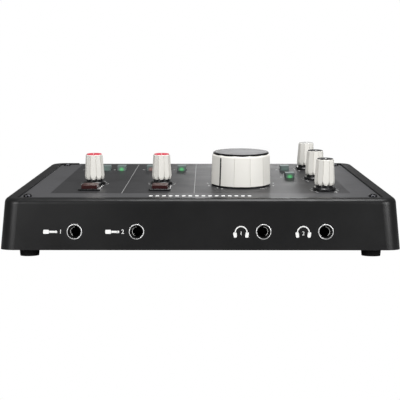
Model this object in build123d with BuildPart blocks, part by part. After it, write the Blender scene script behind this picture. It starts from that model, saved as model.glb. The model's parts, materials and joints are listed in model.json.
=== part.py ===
from build123d import *
from math import atan, cos, degrees, radians, sin
import os

# Desktop audio interface. Millimetres. +X right, +Y to the back, +Z up.
# The origin is on the surface it stands on, under the middle of the case.

# --- case ---
case_width = 238.8
case_depth = 159.0
foot_height = 4.5
panel_tilt = 7.6
panel_mid_height = 43.9
corner_radius = 10.0
wall = 2.6
rim_height = 1.0
rim_width = 7.7
rim_round = 3.4
front_set_back = 1.0
side_set_in_front = 2.9
side_set_in_rear = 1.7
panel_front_margin = 7.6
panel_thickness = 1.5
panel_corner = 2.0
ledge_width = 8.0
ledge_thickness = 2.5
rear_tongue_inset = 13.0
rear_corner_depth = 5.0
base_thickness = 1.5
fit_gap = 0.25
moving_gap = 0.3
screw_clearance = 0.2
seat_gap = 0.05

# --- corner posts, feet and their screws ---
post_inset_x = 16.4
post_inset_y = 13.0
post_radius = 4.5
foot_top_radius = 6.0
foot_bottom_radius = 5.6
foot_recess_radius = 3.3
foot_recess_depth = 2.6
screw_radius = 1.5
screw_head_radius = 2.6
screw_head_height = 1.5
screw_head_round = 1.0
base_screw_length = 12.0
hex_socket_width = 2.5
hex_socket_depth = 0.9
panel_screw_inset_x = 4.5
panel_screw_front = 15.0
panel_screw_rear_inset = 9.4
panel_screw_length = 7.0

# --- boards ---
board_thickness = 1.6
main_board_gap = 1.6
main_board_side_inset = 22.4
board_screw_inset = 6.0
board_screw_depths = (36.0, 118.0)
main_board_front = 6.0
main_board_rear_inset = 8.0
board_screw_head_height = 1.2
spacer_radius = 3.0
control_board_drop = 10.0
control_board_side_inset = 19.4
control_board_front = 27.0
control_board_rear = 135.2
spacer_offset_left = 22.0
spacer_offset_right = 26.0
spacer_inset_front = 6.0
spacer_inset_rear = 30.0

# --- panel layout: distance right of the centre line, and behind the front edge ---
channel_1 = -70.4
channel_2 = -25.7
gain_depth = 62.5
wide_button_depth = 42.0
key_depth = 125.5
key_pitch = 11.4
monitor_x = 26.7
monitor_depth = 61.5
right_column = 78.7
phones_b_depth = 39.0
phones_a_depth = 82.5
mix_depth = 130.0
right_key_x = 62.3
right_key_front_depth = 90.6

# --- small knobs ---
shaft_radius = 3.0
shaft_top = 13.5
shaft_running_gap = 0.05
knob_lift = 0.5
hub_core_wall = 1.35
hub_neck_wall = 1.1
hub_flange_width = 1.7
hub_flange_height = 1.9
hub_flange_chamfer = 0.6
sleeve_foot = 3.6
sleeve_top = 19.5
sleeve_top_wall = 1.1
sleeve_flare = 1.1
sleeve_facets = 10
sleeve_petal_depth = 1.0
sleeve_cone_height = 3.3
sleeve_edge = 0.4
cap_inset = 0.45
cap_thickness = 1.6
cap_stand = 0.6
cap_edge = 0.3
pointer_width = 1.1
pointer_height = 0.15
pointer_inset = 0.3

# --- monitor knob ---
monitor_foot = 1.1
monitor_top = 21.0
monitor_bottom_radius = 19.9
monitor_draft = 0.8
monitor_facets = 12
monitor_facet_bulge = 0.34
monitor_round = 1.9
monitor_wall = 2.8
monitor_web = 3.0
disc_margin = 0.9
disc_thickness = 1.9
disc_stand = 0.7
disc_edge = 0.4
monitor_hub_step = 0.6
monitor_boss_radius = 6.5
spigot_height = 2.6
mark_width = 1.3
mark_depth = 0.5
mark_turn = -135.0
monitor_foot_edge = 0.4

# --- push buttons ---
key_size = 6.5
key_stand = 3.5
key_flange = 0.6
key_flange_thickness = 0.7
key_skirt = 3.0
stem_radius = 1.5
stem_entry = 0.9
switch_floor = 0.8
key_corner = 0.5
key_edge = 0.3
switch_size = 6.4
switch_height = 4.7
wide_key_width = 10.1
wide_key_depth = 10.5
wide_key_stand = 3.2
wide_switch_size = 11.0
bezel_width = 14.0
bezel_depth = 15.0
bezel_height = 1.2
bezel_wall = 0.75
bezel_corner = 1.0
bezel_edge = 0.5

# --- potentiometers ---
pot_width = 9.8
pot_depth = 9.4
pot_height = 6.8
bushing_wall = 0.45
bushing_stand = 0.2
pot_floor = 1.6

# --- jack sockets ---
jack_bore = 3.25
ring_wall = 1.2
jack_height = 15.3
front_jack_outer_x = 73.8
front_jack_inner_x = 37.3
ring_stand = 0.3
ring_length = 5.0
jack_width = 13.0
jack_body_height = 12.4
jack_length = 21.0
contact_width = 3.0
contact_thickness = 0.5
contact_start = 12.5
contact_dip = 1.6
chamber_wall = 1.35
contact_bend = 1.2
ring_edge = 0.35

# --- rear connectors ---
rear_plate_thickness = 1.5
rear_window_inset = 17.0
rear_window_bottom = 9.5
rear_window_top = 45.0
rear_plate_overlap = 2.2
rear_window_corner = 2.0
rear_axis = 26.5
rear_body_depth = 17.0
combo_width = 26.0
combo_body_height = 28.0
combo_face_radius = 12.2
combo_ring_radius = 9.6
combo_core_radius = 7.7
combo_slot_depth = 11.0
pin_hole_radius = 1.3
pin_circle = 5.5
combo_screw_radius = 1.4
combo_screw_length = 8.0
combo_screw_head_radius = 2.4
combo_corner_margin = 0.6
combo_leg_inset = 2.0
output_width = 14.0
output_body_gap = 0.5
output_half_height = 6.0
output_nose_wall = 1.25
nose_stand = 0.4
nut_width = 12.0
nut_thickness = 2.0
din_width = 17.0
din_face_radius = 7.6
din_ring_radius = 6.7
din_core_radius = 5.6
din_slot_depth = 8.0
din_pin_circle = 3.9
din_pin_radius = 0.8
din_body_depth = 13.0
usb_width = 9.0
usb_height = 3.3
usb_shell = 0.4
usb_depth = 8.0
usb_corner = 1.2
usb_back = 1.5
usb_tongue_width = 6.7
usb_tongue_thickness = 0.7
lock_width = 3.0
lock_height = 7.0
lock_corner = 1.2

# --- components on the main board: places from the centre, and sizes ---
shield_place = (-46.0, -16.0)
shield_size = (40.0, 26.0, 6.0)
chip_places = [(-4.0, -38.0), (44.0, -26.0)]
chip_width = 14.0
driver_places = [(24.0, 26.0), (48.0, 26.0)]
driver_size = (10.0, 6.0)
chip_height = 1.6
capacitor_pitch = 11.0
capacitor_radius = 4.0
capacitor_height = 11.0
relay_places = [(-62.0, 18.0), (-40.0, 18.0)]
relay_size = (15.0, 7.5, 10.0)

# --- ribbon cable ---
ribbon_width = 25.4
ribbon_thickness = 1.0
header_depth = 6.0
header_height = 6.0
ribbon_y = 8.0
ribbon_reach = 14.0
ribbon_fold_height = 5.06
ribbon_entry = 1.0
ribbon_bend = 2.0
header_overhang = 1.5

# Values worked out from the sizes above.
half_width = case_width / 2
half_depth = case_depth / 2
tilt = radians(panel_tilt)
normal = (0, -sin(tilt), cos(tilt))
panel = Plane(origin=(0, 0, panel_mid_height), x_dir=(1, 0, 0), z_dir=normal)
panel_half_width = half_width - side_set_in_front - rim_width
base_top = foot_height + base_thickness
board_bottom = base_top + main_board_gap
board_top = board_bottom + board_thickness
ledge_top = -panel_thickness
ledge_bottom = ledge_top - ledge_thickness
rear_inner = half_depth - wall
rear_plate_inner = rear_inner - rear_plate_thickness
post_x = half_width - post_inset_x
post_y = half_depth - post_inset_y
cavity_radius = corner_radius - wall
panel_screw_rear = case_depth - panel_screw_rear_inset
main_board_rear = case_depth - main_board_rear_inset
ring_radius = jack_bore + ring_wall
chamber_radius = jack_bore + chamber_wall
output_nose_radius = jack_bore + output_nose_wall
bushing_radius = shaft_radius + shaft_running_gap + bushing_wall
hub_core_radius = shaft_radius + hub_core_wall
hub_neck_radius = hub_core_radius + hub_neck_wall
hub_radius = hub_neck_radius + hub_flange_width
sleeve_top_radius = hub_core_radius + sleeve_top_wall
sleeve_bottom_radius = sleeve_top_radius + sleeve_flare
sleeve_cone_radius = sleeve_bottom_radius - sleeve_petal_depth
cap_radius = sleeve_top_radius - cap_inset
monitor_top_radius = monitor_bottom_radius - monitor_draft
monitor_hub_radius = monitor_bottom_radius - monitor_hub_step
disc_radius = monitor_top_radius - disc_margin
stem_length = control_board_drop - switch_height - key_skirt + stem_entry


def behind_front(depth):
    """Y of a point this far behind the case's front edge."""
    return depth - half_depth


def along_slope(y, height=0.0):
    """Distance up the slope, on the plane this far off the panel's surface, of a point at y."""
    return (y + height * sin(tilt)) / cos(tilt)


def panel_point(x, depth):
    """A point of the panel's surface, in the panel's own two directions."""
    return (x, along_slope(behind_front(depth)))


def stand(place, height=0.0):
    """A plane square to the panel, over one of its points."""
    return Plane(origin=panel.from_local_coords((*place, height)), x_dir=(1, 0, 0), z_dir=normal)


def finish(part, label):
    """Name a finished piece and write it."""
    part.label = label
    export_step(part, f"parts/{label}.step")


gain_1 = panel_point(channel_1, gain_depth)
gain_2 = panel_point(channel_2, gain_depth)
monitor_place = panel_point(monitor_x, monitor_depth)
small_knobs = {
    "gain_1": gain_1,
    "gain_2": gain_2,
    "phones_b": panel_point(right_column, phones_b_depth),
    "phones_a": panel_point(right_column, phones_a_depth),
    "monitor_mix": panel_point(right_column, mix_depth),
}
small_keys = {
    "power_48v_1": panel_point(channel_1 - key_pitch, key_depth),
    "line_1": panel_point(channel_1, key_depth),
    "high_pass_1": panel_point(channel_1 + key_pitch, key_depth),
    "power_48v_2": panel_point(channel_2 - key_pitch, key_depth),
    "line_2": panel_point(channel_2, key_depth),
    "high_pass_2": panel_point(channel_2 + key_pitch, key_depth),
    "mono": panel_point(right_key_x, key_depth),
    "source_select": panel_point(right_key_x, right_key_front_depth),
}
wide_keys = {
    "tone_1": panel_point(channel_1, wide_button_depth),
    "tone_2": panel_point(channel_2, wide_button_depth),
}
pot_places = [*small_knobs.values(), monitor_place]
panel_screw_places = [
    panel_point(side * (panel_half_width - panel_screw_inset_x), depth)
    for side in (-1, 1)
    for depth in (panel_screw_front, panel_screw_rear)
]
post_places = [(x, y) for x in (-post_x, post_x) for y in (-post_y, post_y)]
front_jack_places = [-front_jack_outer_x, -front_jack_inner_x, front_jack_inner_x, front_jack_outer_x]

# The rear connectors share what the window leaves free as equal gaps.
rear_window_half = half_width - rear_window_inset
rear_widths = [combo_width] * 2 + [output_width] * 4 + [din_width] * 2 + [usb_width, lock_width]
rear_gap = (2 * rear_window_half - sum(rear_widths)) / (len(rear_widths) + 1)
rear_places = [
    -rear_window_half + rear_gap * (i + 1) + sum(rear_widths[:i]) + rear_widths[i] / 2
    for i in range(len(rear_widths))
]
combo_places = rear_places[0:2]
output_places = rear_places[2:6]
din_places = rear_places[6:8]
usb_x = rear_places[8]
lock_x = rear_places[9]
combo_screw_x = combo_width / 2 - combo_screw_radius - combo_corner_margin
combo_screw_z = combo_body_height / 2 - combo_screw_radius - combo_corner_margin
combo_screw_places = [
    (x + side * combo_screw_x, rear_axis + side * combo_screw_z) for x in combo_places for side in (-1, 1)
]
board_screw_x = half_width - main_board_side_inset - board_screw_inset
board_screw_places = [
    (x, behind_front(depth)) for x in (-board_screw_x, board_screw_x) for depth in board_screw_depths
]
control_spacer_places = [
    panel_point(x, depth)
    for x in (
        channel_1 - spacer_offset_left, channel_2 + spacer_offset_left, right_column - spacer_offset_right
    )
    for depth in (control_board_front + spacer_inset_front, control_board_rear - spacer_inset_rear)
]

os.makedirs("parts", exist_ok=True)


def outline(half_front, half_rear, front, rear, radius):
    """A face: four straight sides with rounded corners, which may be wider at the rear."""
    with BuildSketch(Plane.XY) as face:
        with BuildLine():
            Polyline(
                (-half_front, front), (half_front, front), (half_rear, rear), (-half_rear, rear), close=True
            )
        make_face()
        fillet(face.vertices(), radius)
    return face.sketch


# --- the room inside the case shell, which leaves the corner posts standing ---
with BuildPart() as cavity:
    with BuildSketch(Plane.XY.offset(foot_height)):
        room = half_width - wall
        add(outline(room, room, wall - half_depth, half_depth - wall, cavity_radius))
    with BuildSketch(panel.offset(ledge_bottom)):
        cavity_outline = outline(
            half_width - side_set_in_front - wall,
            half_width - side_set_in_rear - wall,
            along_slope(-half_depth + front_set_back + wall, ledge_bottom),
            along_slope(half_depth - wall, ledge_bottom),
            cavity_radius,
        )
        add(cavity_outline)
    loft()
    with BuildSketch(Plane.XY.offset(base_top)):
        with Locations(*post_places):
            Circle(post_radius)
    extrude(amount=panel_mid_height + half_depth, mode=Mode.SUBTRACT)

# --- case shell: drafted walls, rounded top edge, a recess and ledge for the panel, corner posts ---
with BuildPart() as case_shell:
    with BuildSketch(Plane.XY.offset(foot_height)):
        add(outline(half_width, half_width, -half_depth, half_depth, corner_radius))
    with BuildSketch(panel.offset(rim_height)):
        rim_outline = outline(
            half_width - side_set_in_front,
            half_width - side_set_in_rear,
            along_slope(-half_depth + front_set_back, rim_height),
            along_slope(half_depth, rim_height),
            corner_radius,
        )
        add(rim_outline)
    loft()
    rim_face = faces().sort_by(Axis((0, 0, 0), normal))[-1]
    fillet(rim_face.outer_wire().edges(), rim_round)
    add(cavity.part, mode=Mode.SUBTRACT)
    # The panel's recess, open at the rear between the two corners.
    panel_front = along_slope(behind_front(panel_front_margin))
    panel_rear = along_slope(half_depth - rear_corner_depth)
    panel_length = panel_rear - panel_front
    tongue_half_width = panel_half_width - rear_tongue_inset
    with BuildSketch(panel.offset(rim_height)):
        with Locations((0, (panel_front + panel_rear) / 2)):
            Rectangle(2 * (panel_half_width + fit_gap), panel_length + 2 * fit_gap)
        with Locations((0, panel_rear)):
            Rectangle(2 * (tongue_half_width + fit_gap), 4 * rear_corner_depth)
    extrude(amount=-(rim_height + panel_thickness), mode=Mode.SUBTRACT)
    # The window inside the ledge.
    with BuildSketch(panel.offset(ledge_top)):
        with Locations((0, (panel_front + panel_rear) / 2)):
            Rectangle(2 * (panel_half_width - ledge_width), panel_length - 2 * ledge_width)
    extrude(amount=-2 * ledge_thickness, mode=Mode.SUBTRACT)
    # The front wall's holes for the jacks, and the rear wall's window.
    with BuildSketch(Plane.XZ.offset(half_depth)):
        with Locations(*[(x, jack_height) for x in front_jack_places]):
            Circle(ring_radius + screw_clearance)
    extrude(amount=-2 * wall - front_set_back, mode=Mode.SUBTRACT)
    with BuildSketch(Plane.XZ.offset(-half_depth)):
        with Locations((0, (rear_window_bottom + rear_window_top) / 2)):
            Rectangle(2 * rear_window_half, rear_window_top - rear_window_bottom)
        fillet(vertices(), rear_window_corner)
    extrude(amount=1.5 * wall, mode=Mode.SUBTRACT)
    # Screw holes, from below and from above.
    with BuildSketch(Plane.XY.offset(foot_height)):
        with Locations(*post_places):
            Circle(screw_radius + seat_gap)
    extrude(amount=base_screw_length, mode=Mode.SUBTRACT)
    with BuildSketch(panel.offset(rim_height)):
        with Locations(*panel_screw_places):
            Circle(screw_radius + seat_gap)
    extrude(amount=-(rim_height + panel_screw_length), mode=Mode.SUBTRACT)
finish(case_shell.part, "case_shell")

# --- base plate: flat steel, set inside the walls under the posts ---
with BuildPart() as base_plate:
    with BuildSketch(Plane.XY.offset(foot_height)):
        inset = wall + fit_gap
        plate = half_width - inset
        add(outline(plate, plate, inset - half_depth, half_depth - inset, corner_radius - inset))
        with Locations(*post_places):
            Circle(screw_radius + screw_clearance, mode=Mode.SUBTRACT)
        with Locations(*board_screw_places):
            Circle(screw_radius + seat_gap, mode=Mode.SUBTRACT)
    extrude(amount=base_thickness)
finish(base_plate.part, "base_plate")

# --- top panel: sheet aluminium with holes for the controls, running to the rear edge ---
with BuildPart() as top_panel:
    with BuildSketch(panel):
        with Locations((0, (panel_front + panel_rear) / 2)):
            Rectangle(2 * panel_half_width, panel_length)
        fillet(vertices(), panel_corner)
        tongue_rear = along_slope(half_depth) - fit_gap
        with Locations((0, (panel_rear - 2 * rear_corner_depth + tongue_rear) / 2)):
            Rectangle(2 * tongue_half_width, tongue_rear - panel_rear + 2 * rear_corner_depth)
        with Locations(*pot_places):
            Circle(bushing_radius + screw_clearance, mode=Mode.SUBTRACT)
        with Locations(*small_keys.values()):
            Rectangle(key_size + 2 * moving_gap, key_size + 2 * moving_gap, mode=Mode.SUBTRACT)
        with Locations(*wide_keys.values()):
            Rectangle(
                wide_key_width + 2 * (moving_gap + bezel_wall + screw_clearance),
                wide_key_depth + 2 * (moving_gap + bezel_wall + screw_clearance),
                mode=Mode.SUBTRACT,
            )
        with Locations(*panel_screw_places):
            Circle(screw_radius + screw_clearance, mode=Mode.SUBTRACT)
    extrude(amount=-panel_thickness)
finish(top_panel.part, "top_panel")

# --- panel screws: dark button heads with a hexagon socket ---
with BuildPart() as panel_screws:
    with BuildSketch(panel):
        with Locations(*panel_screw_places):
            Circle(screw_head_radius)
    extrude(amount=screw_head_height)
    fillet(edges().filter_by(GeomType.CIRCLE).group_by(Axis((0, 0, 0), normal))[-1], screw_head_round)
    with BuildSketch(panel):
        with Locations(*panel_screw_places):
            Circle(screw_radius)
    extrude(amount=-panel_screw_length + moving_gap)
    with BuildSketch(panel.offset(screw_head_height)):
        with Locations(*panel_screw_places):
            RegularPolygon(hex_socket_width / 2, 6, major_radius=False)
    extrude(amount=-hex_socket_depth, mode=Mode.SUBTRACT)
finish(panel_screws.part, "panel_screws")

# --- feet: tapered rubber with a recess for the screw that holds each ---
with BuildPart() as feet:
    with BuildSketch(Plane.XY):
        with Locations(*post_places):
            Circle(foot_bottom_radius)
    extrude(amount=foot_height, taper=-degrees(atan((foot_top_radius - foot_bottom_radius) / foot_height)))
    with BuildSketch(Plane.XY):
        with Locations(*post_places):
            Circle(foot_recess_radius)
    extrude(amount=foot_recess_depth, mode=Mode.SUBTRACT)
    with BuildSketch(Plane.XY):
        with Locations(*post_places):
            Circle(screw_radius + screw_clearance)
    extrude(amount=foot_height, mode=Mode.SUBTRACT)
finish(feet.part, "feet")

# --- base screws: up through feet and base plate into the posts ---
with BuildPart() as base_screws:
    with BuildSketch(Plane.XY.offset(foot_recess_depth - screw_head_height)):
        with Locations(*post_places):
            Circle(screw_head_radius)
    extrude(amount=screw_head_height)
    with BuildSketch(Plane.XY.offset(foot_recess_depth)):
        with Locations(*post_places):
            Circle(screw_radius)
    extrude(amount=foot_height - foot_recess_depth + base_screw_length - moving_gap)
    with BuildSketch(Plane.XY.offset(foot_recess_depth - screw_head_height)):
        with Locations(*post_places):
            RegularPolygon(hex_socket_width / 2, 6, major_radius=False)
    extrude(amount=hex_socket_depth, mode=Mode.SUBTRACT)
finish(base_screws.part, "base_screws")

# --- main board with its spacers and screws ---
with BuildPart() as main_board:
    with BuildSketch(Plane.XY.offset(board_bottom)):
        with Locations((0, behind_front((main_board_front + main_board_rear) / 2))):
            Rectangle(2 * (half_width - main_board_side_inset), main_board_rear - main_board_front)
        with Locations(*board_screw_places):
            Circle(screw_radius + screw_clearance, mode=Mode.SUBTRACT)
    extrude(amount=board_thickness)
finish(main_board.part, "main_board")

with BuildPart() as board_spacers:
    with BuildSketch(Plane.XY.offset(base_top)):
        with Locations(*board_screw_places):
            Circle(spacer_radius)
            Circle(screw_radius + screw_clearance, mode=Mode.SUBTRACT)
    extrude(amount=main_board_gap)
finish(board_spacers.part, "board_spacers")

with BuildPart() as board_screws:
    with BuildSketch(Plane.XY.offset(board_top)):
        with Locations(*board_screw_places):
            Circle(screw_head_radius)
    extrude(amount=board_screw_head_height)
    with BuildSketch(Plane.XY.offset(board_top)):
        with Locations(*board_screw_places):
            Circle(screw_radius)
    extrude(amount=-(board_thickness + main_board_gap + base_thickness))
finish(board_screws.part, "board_screws")

# --- components on the main board: shield can, chips, capacitors and relays ---
with BuildPart() as board_components:
    with BuildSketch(Plane.XY.offset(board_top)):
        with Locations(shield_place):
            Rectangle(shield_size[0], shield_size[1])
    extrude(amount=shield_size[2])
    with BuildSketch(Plane.XY.offset(board_top)):
        with Locations(*chip_places):
            Rectangle(chip_width, chip_width)
        with Locations(*driver_places):
            Rectangle(*driver_size)
    extrude(amount=chip_height)
    with BuildSketch(Plane.XY.offset(board_top)):
        with GridLocations(capacitor_pitch, capacitor_pitch, 4, 1):
            Circle(capacitor_radius)
    extrude(amount=capacitor_height)
    with BuildSketch(Plane.XY.offset(board_top)):
        with Locations(*relay_places):
            Rectangle(relay_size[0], relay_size[1])
    extrude(amount=relay_size[2])
finish(board_components.part, "board_components")

# --- control board, under the panel, on its spacers ---
with BuildPart() as control_board:
    with BuildSketch(panel.offset(-control_board_drop)):
        board_front = along_slope(behind_front(control_board_front))
        board_rear = along_slope(behind_front(control_board_rear))
        with Locations((0, (board_front + board_rear) / 2)):
            Rectangle(2 * (half_width - control_board_side_inset), board_rear - board_front)
    extrude(amount=-board_thickness)
finish(control_board.part, "control_board")

with BuildPart() as panel_spacers:
    with BuildSketch(panel.offset(-panel_thickness)):
        with Locations(*control_spacer_places):
            RegularPolygon(spacer_radius, 6, major_radius=False)
    extrude(amount=-(control_board_drop - panel_thickness))
finish(panel_spacers.part, "panel_spacers")

# --- potentiometers: body on the control board, bushing up into the panel ---
with BuildPart() as potentiometers:
    with BuildSketch(panel.offset(-control_board_drop)):
        with Locations(*pot_places):
            Rectangle(pot_width, pot_depth)
    extrude(amount=pot_height)
    with BuildSketch(panel.offset(-control_board_drop + pot_height)):
        with Locations(*pot_places):
            Circle(bushing_radius)
    extrude(amount=control_board_drop - pot_height + bushing_stand)
    with BuildSketch(panel.offset(bushing_stand)):
        with Locations(*pot_places):
            Circle(shaft_radius + shaft_running_gap)
    extrude(amount=-(control_board_drop + bushing_stand - pot_floor), mode=Mode.SUBTRACT)
finish(potentiometers.part, "potentiometers")

# --- push switches: a body with a pocket for each button's stem ---
with BuildPart() as switch_bodies:
    with BuildSketch(panel.offset(-control_board_drop)):
        with Locations(*small_keys.values()):
            Rectangle(switch_size, switch_size)
        with Locations(*wide_keys.values()):
            Rectangle(wide_switch_size, wide_switch_size)
    extrude(amount=switch_height)
    with BuildSketch(panel.offset(-control_board_drop + switch_height)):
        with Locations(*small_keys.values(), *wide_keys.values()):
            Circle(stem_radius + moving_gap)
    extrude(amount=-(switch_height - switch_floor), mode=Mode.SUBTRACT)
finish(switch_bodies.part, "switch_bodies")

# --- bezels round the two wide buttons ---
with BuildPart() as button_bezels:
    with BuildSketch(panel):
        with Locations(*wide_keys.values()):
            Rectangle(bezel_width, bezel_depth)
    extrude(amount=bezel_height)
    fillet(edges().filter_by(Axis((0, 0, 0), normal)), bezel_corner)
    fillet(faces().group_by(Axis((0, 0, 0), normal))[-1].edges(), bezel_edge)
    with BuildSketch(panel):
        with Locations(*wide_keys.values()):
            Rectangle(
                wide_key_width + 2 * (moving_gap + bezel_wall), wide_key_depth + 2 * (moving_gap + bezel_wall)
            )
    extrude(amount=-panel_thickness)
    with BuildSketch(panel.offset(bezel_height)):
        with Locations(*wide_keys.values()):
            Rectangle(wide_key_width + 2 * moving_gap, wide_key_depth + 2 * moving_gap)
    extrude(amount=-(bezel_height + panel_thickness), mode=Mode.SUBTRACT)
finish(button_bezels.part, "button_bezels")

# --- front jacks: body on the main board, bright ring in the front wall, sprung contact ---
wall_height = panel_mid_height - half_depth * sin(tilt) / cos(tilt) - foot_height
lean = front_set_back * (jack_height - foot_height) / wall_height
front_face = Plane.XZ.offset(half_depth + ring_stand - lean)
with BuildPart() as front_jack_rings:
    with BuildSketch(front_face):
        with Locations(*[(x, jack_height) for x in front_jack_places]):
            Circle(ring_radius)
            Circle(jack_bore, mode=Mode.SUBTRACT)
    extrude(amount=-ring_length)
    rim_edges = edges().filter_by(GeomType.CIRCLE).group_by(Axis.Y)[0]
    fillet(rim_edges, ring_edge)
finish(front_jack_rings.part, "front_jack_rings")

with BuildPart() as front_jacks:
    with BuildSketch(front_face.offset(-ring_length)):
        with Locations(*[(x, board_top + jack_body_height / 2) for x in front_jack_places]):
            Rectangle(jack_width, jack_body_height)
    extrude(amount=-jack_length)
    with BuildSketch(front_face.offset(-ring_length)):
        with Locations(*[(x, jack_height) for x in front_jack_places]):
            Circle(jack_bore)
    extrude(amount=-contact_start, mode=Mode.SUBTRACT)
    # The wider chamber behind the bore, where the contact springs.
    with BuildSketch(front_face.offset(-ring_length - contact_start)):
        with Locations(*[(x, jack_height) for x in front_jack_places]):
            Circle(chamber_radius)
    extrude(amount=-(jack_length - contact_start - wall), mode=Mode.SUBTRACT)
finish(front_jacks.part, "front_jacks")

with BuildPart() as jack_contacts:
    chamber_front = front_face.origin.Y + ring_length + contact_start
    chamber_back = chamber_front + jack_length - contact_start - wall
    foot_inset = (chamber_radius**2 - (contact_width / 2) ** 2) ** 0.5 - contact_thickness / 2 - seat_gap
    with BuildSketch(Plane.XY.offset(jack_height - contact_width / 2)):
        for x in front_jack_places:
            with BuildLine():
                FilletPolyline(
                    (x - foot_inset, chamber_front + moving_gap),
                    (x - foot_inset + contact_dip, (chamber_front + chamber_back) / 2),
                    (x - foot_inset, chamber_back - moving_gap),
                    radius=contact_bend,
                )
            trace(line_width=contact_thickness)
    extrude(amount=contact_width)
finish(jack_contacts.part, "jack_contacts")

# --- rear panel: steel plate behind the rear wall's window ---
with BuildPart() as rear_panel:
    with BuildSketch(Plane.XZ.offset(-rear_inner)):
        with Locations((0, (rear_window_bottom + rear_window_top) / 2)):
            Rectangle(
                2 * (rear_window_half + rear_plate_overlap),
                rear_window_top - rear_window_bottom + 2 * rear_plate_overlap,
            )
        with Locations(*[(x, rear_axis) for x in combo_places]):
            Circle(combo_face_radius + fit_gap, mode=Mode.SUBTRACT)
        with Locations(*[(x, rear_axis) for x in output_places]):
            Circle(output_nose_radius + fit_gap, mode=Mode.SUBTRACT)
        with Locations(*[(x, rear_axis) for x in din_places]):
            Circle(din_face_radius + fit_gap, mode=Mode.SUBTRACT)
        with Locations(*combo_screw_places):
            Circle(combo_screw_radius + seat_gap, mode=Mode.SUBTRACT)
        usb_axis = board_top + usb_height / 2 + usb_shell
        with Locations((usb_x, usb_axis)):
            RectangleRounded(
                usb_width + 2 * (usb_shell + fit_gap),
                usb_height + 2 * (usb_shell + fit_gap),
                usb_corner + usb_shell,
                mode=Mode.SUBTRACT,
            )
        with Locations((lock_x, rear_axis)):
            RectangleRounded(lock_width, lock_height, lock_corner, mode=Mode.SUBTRACT)
    extrude(amount=rear_plate_thickness)
finish(rear_panel.part, "rear_panel")


def rear_sketch_plane(y):
    """The plane across the case at y, for pieces that grow towards the front."""
    return Plane.XZ.offset(-y)


# --- combo sockets: round face in the panel, block body behind it on the main board ---
with BuildPart() as combo_sockets:
    with BuildSketch(rear_sketch_plane(rear_plate_inner)):
        with Locations(*[(x, rear_axis) for x in combo_places]):
            Rectangle(combo_width, combo_body_height)
    extrude(amount=rear_body_depth)
    with BuildSketch(rear_sketch_plane(rear_plate_inner)):
        combo_leg_height = rear_axis - combo_body_height / 2 - board_top
        with Locations(*[(x, board_top + combo_leg_height / 2) for x in combo_places]):
            Rectangle(combo_width - 2 * combo_leg_inset, combo_leg_height)
    extrude(amount=rear_body_depth)
    with BuildSketch(rear_sketch_plane(rear_inner)):
        with Locations(*[(x, rear_axis) for x in combo_places]):
            Circle(combo_face_radius)
    extrude(amount=rear_plate_thickness)
    with BuildSketch(rear_sketch_plane(rear_inner)):
        with Locations(*[(x, rear_axis) for x in combo_places]):
            Circle(combo_ring_radius)
            Circle(combo_core_radius, mode=Mode.SUBTRACT)
            Circle(jack_bore)
            with PolarLocations(pin_circle, 3, start_angle=90):
                Circle(pin_hole_radius)
    extrude(amount=combo_slot_depth, mode=Mode.SUBTRACT)
    with BuildSketch(rear_sketch_plane(rear_inner)):
        with Locations(*[(x, rear_axis) for x in combo_places]):
            Circle(jack_bore)
    extrude(amount=rear_body_depth, mode=Mode.SUBTRACT)
    with BuildSketch(rear_sketch_plane(rear_plate_inner)):
        with Locations(*combo_screw_places):
            Circle(combo_screw_radius + seat_gap)
    extrude(amount=combo_screw_length, mode=Mode.SUBTRACT)
finish(combo_sockets.part, "combo_sockets")

with BuildPart() as rear_panel_screws:
    with BuildSketch(rear_sketch_plane(rear_inner)):
        with Locations(*combo_screw_places):
            Circle(combo_screw_head_radius)
    extrude(amount=-screw_head_height)
    with BuildSketch(rear_sketch_plane(rear_inner)):
        with Locations(*combo_screw_places):
            Circle(combo_screw_radius)
    extrude(amount=combo_screw_length)
    with BuildSketch(rear_sketch_plane(rear_inner + screw_head_height)):
        with Locations(*combo_screw_places):
            RegularPolygon(hex_socket_width / 2, 6, major_radius=False)
    extrude(amount=hex_socket_depth, mode=Mode.SUBTRACT)
finish(rear_panel_screws.part, "rear_panel_screws")

# --- output jacks: threaded nose through the rear panel, nut outside ---
nose_tip = rear_inner + nut_thickness + nose_stand
with BuildPart() as output_jacks:
    with BuildSketch(rear_sketch_plane(rear_plate_inner)):
        body_height = rear_axis + output_half_height - board_top
        with Locations(*[(x, board_top + body_height / 2) for x in output_places]):
            Rectangle(output_width - 2 * output_body_gap, body_height)
    extrude(amount=rear_body_depth)
    with BuildSketch(rear_sketch_plane(nose_tip)):
        with Locations(*[(x, rear_axis) for x in output_places]):
            Circle(output_nose_radius)
    extrude(amount=nose_tip - rear_plate_inner)
    with BuildSketch(rear_sketch_plane(nose_tip)):
        with Locations(*[(x, rear_axis) for x in output_places]):
            Circle(jack_bore)
    extrude(amount=nose_tip - rear_plate_inner + rear_body_depth - wall, mode=Mode.SUBTRACT)
finish(output_jacks.part, "output_jacks")

with BuildPart() as output_jack_nuts:
    with BuildSketch(rear_sketch_plane(rear_inner + nut_thickness)):
        with Locations(*[(x, rear_axis) for x in output_places]):
            RegularPolygon(nut_width / 2, 6, major_radius=False)
            Circle(output_nose_radius + seat_gap, mode=Mode.SUBTRACT)
    extrude(amount=nut_thickness)
finish(output_jack_nuts.part, "output_jack_nuts")

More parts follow.
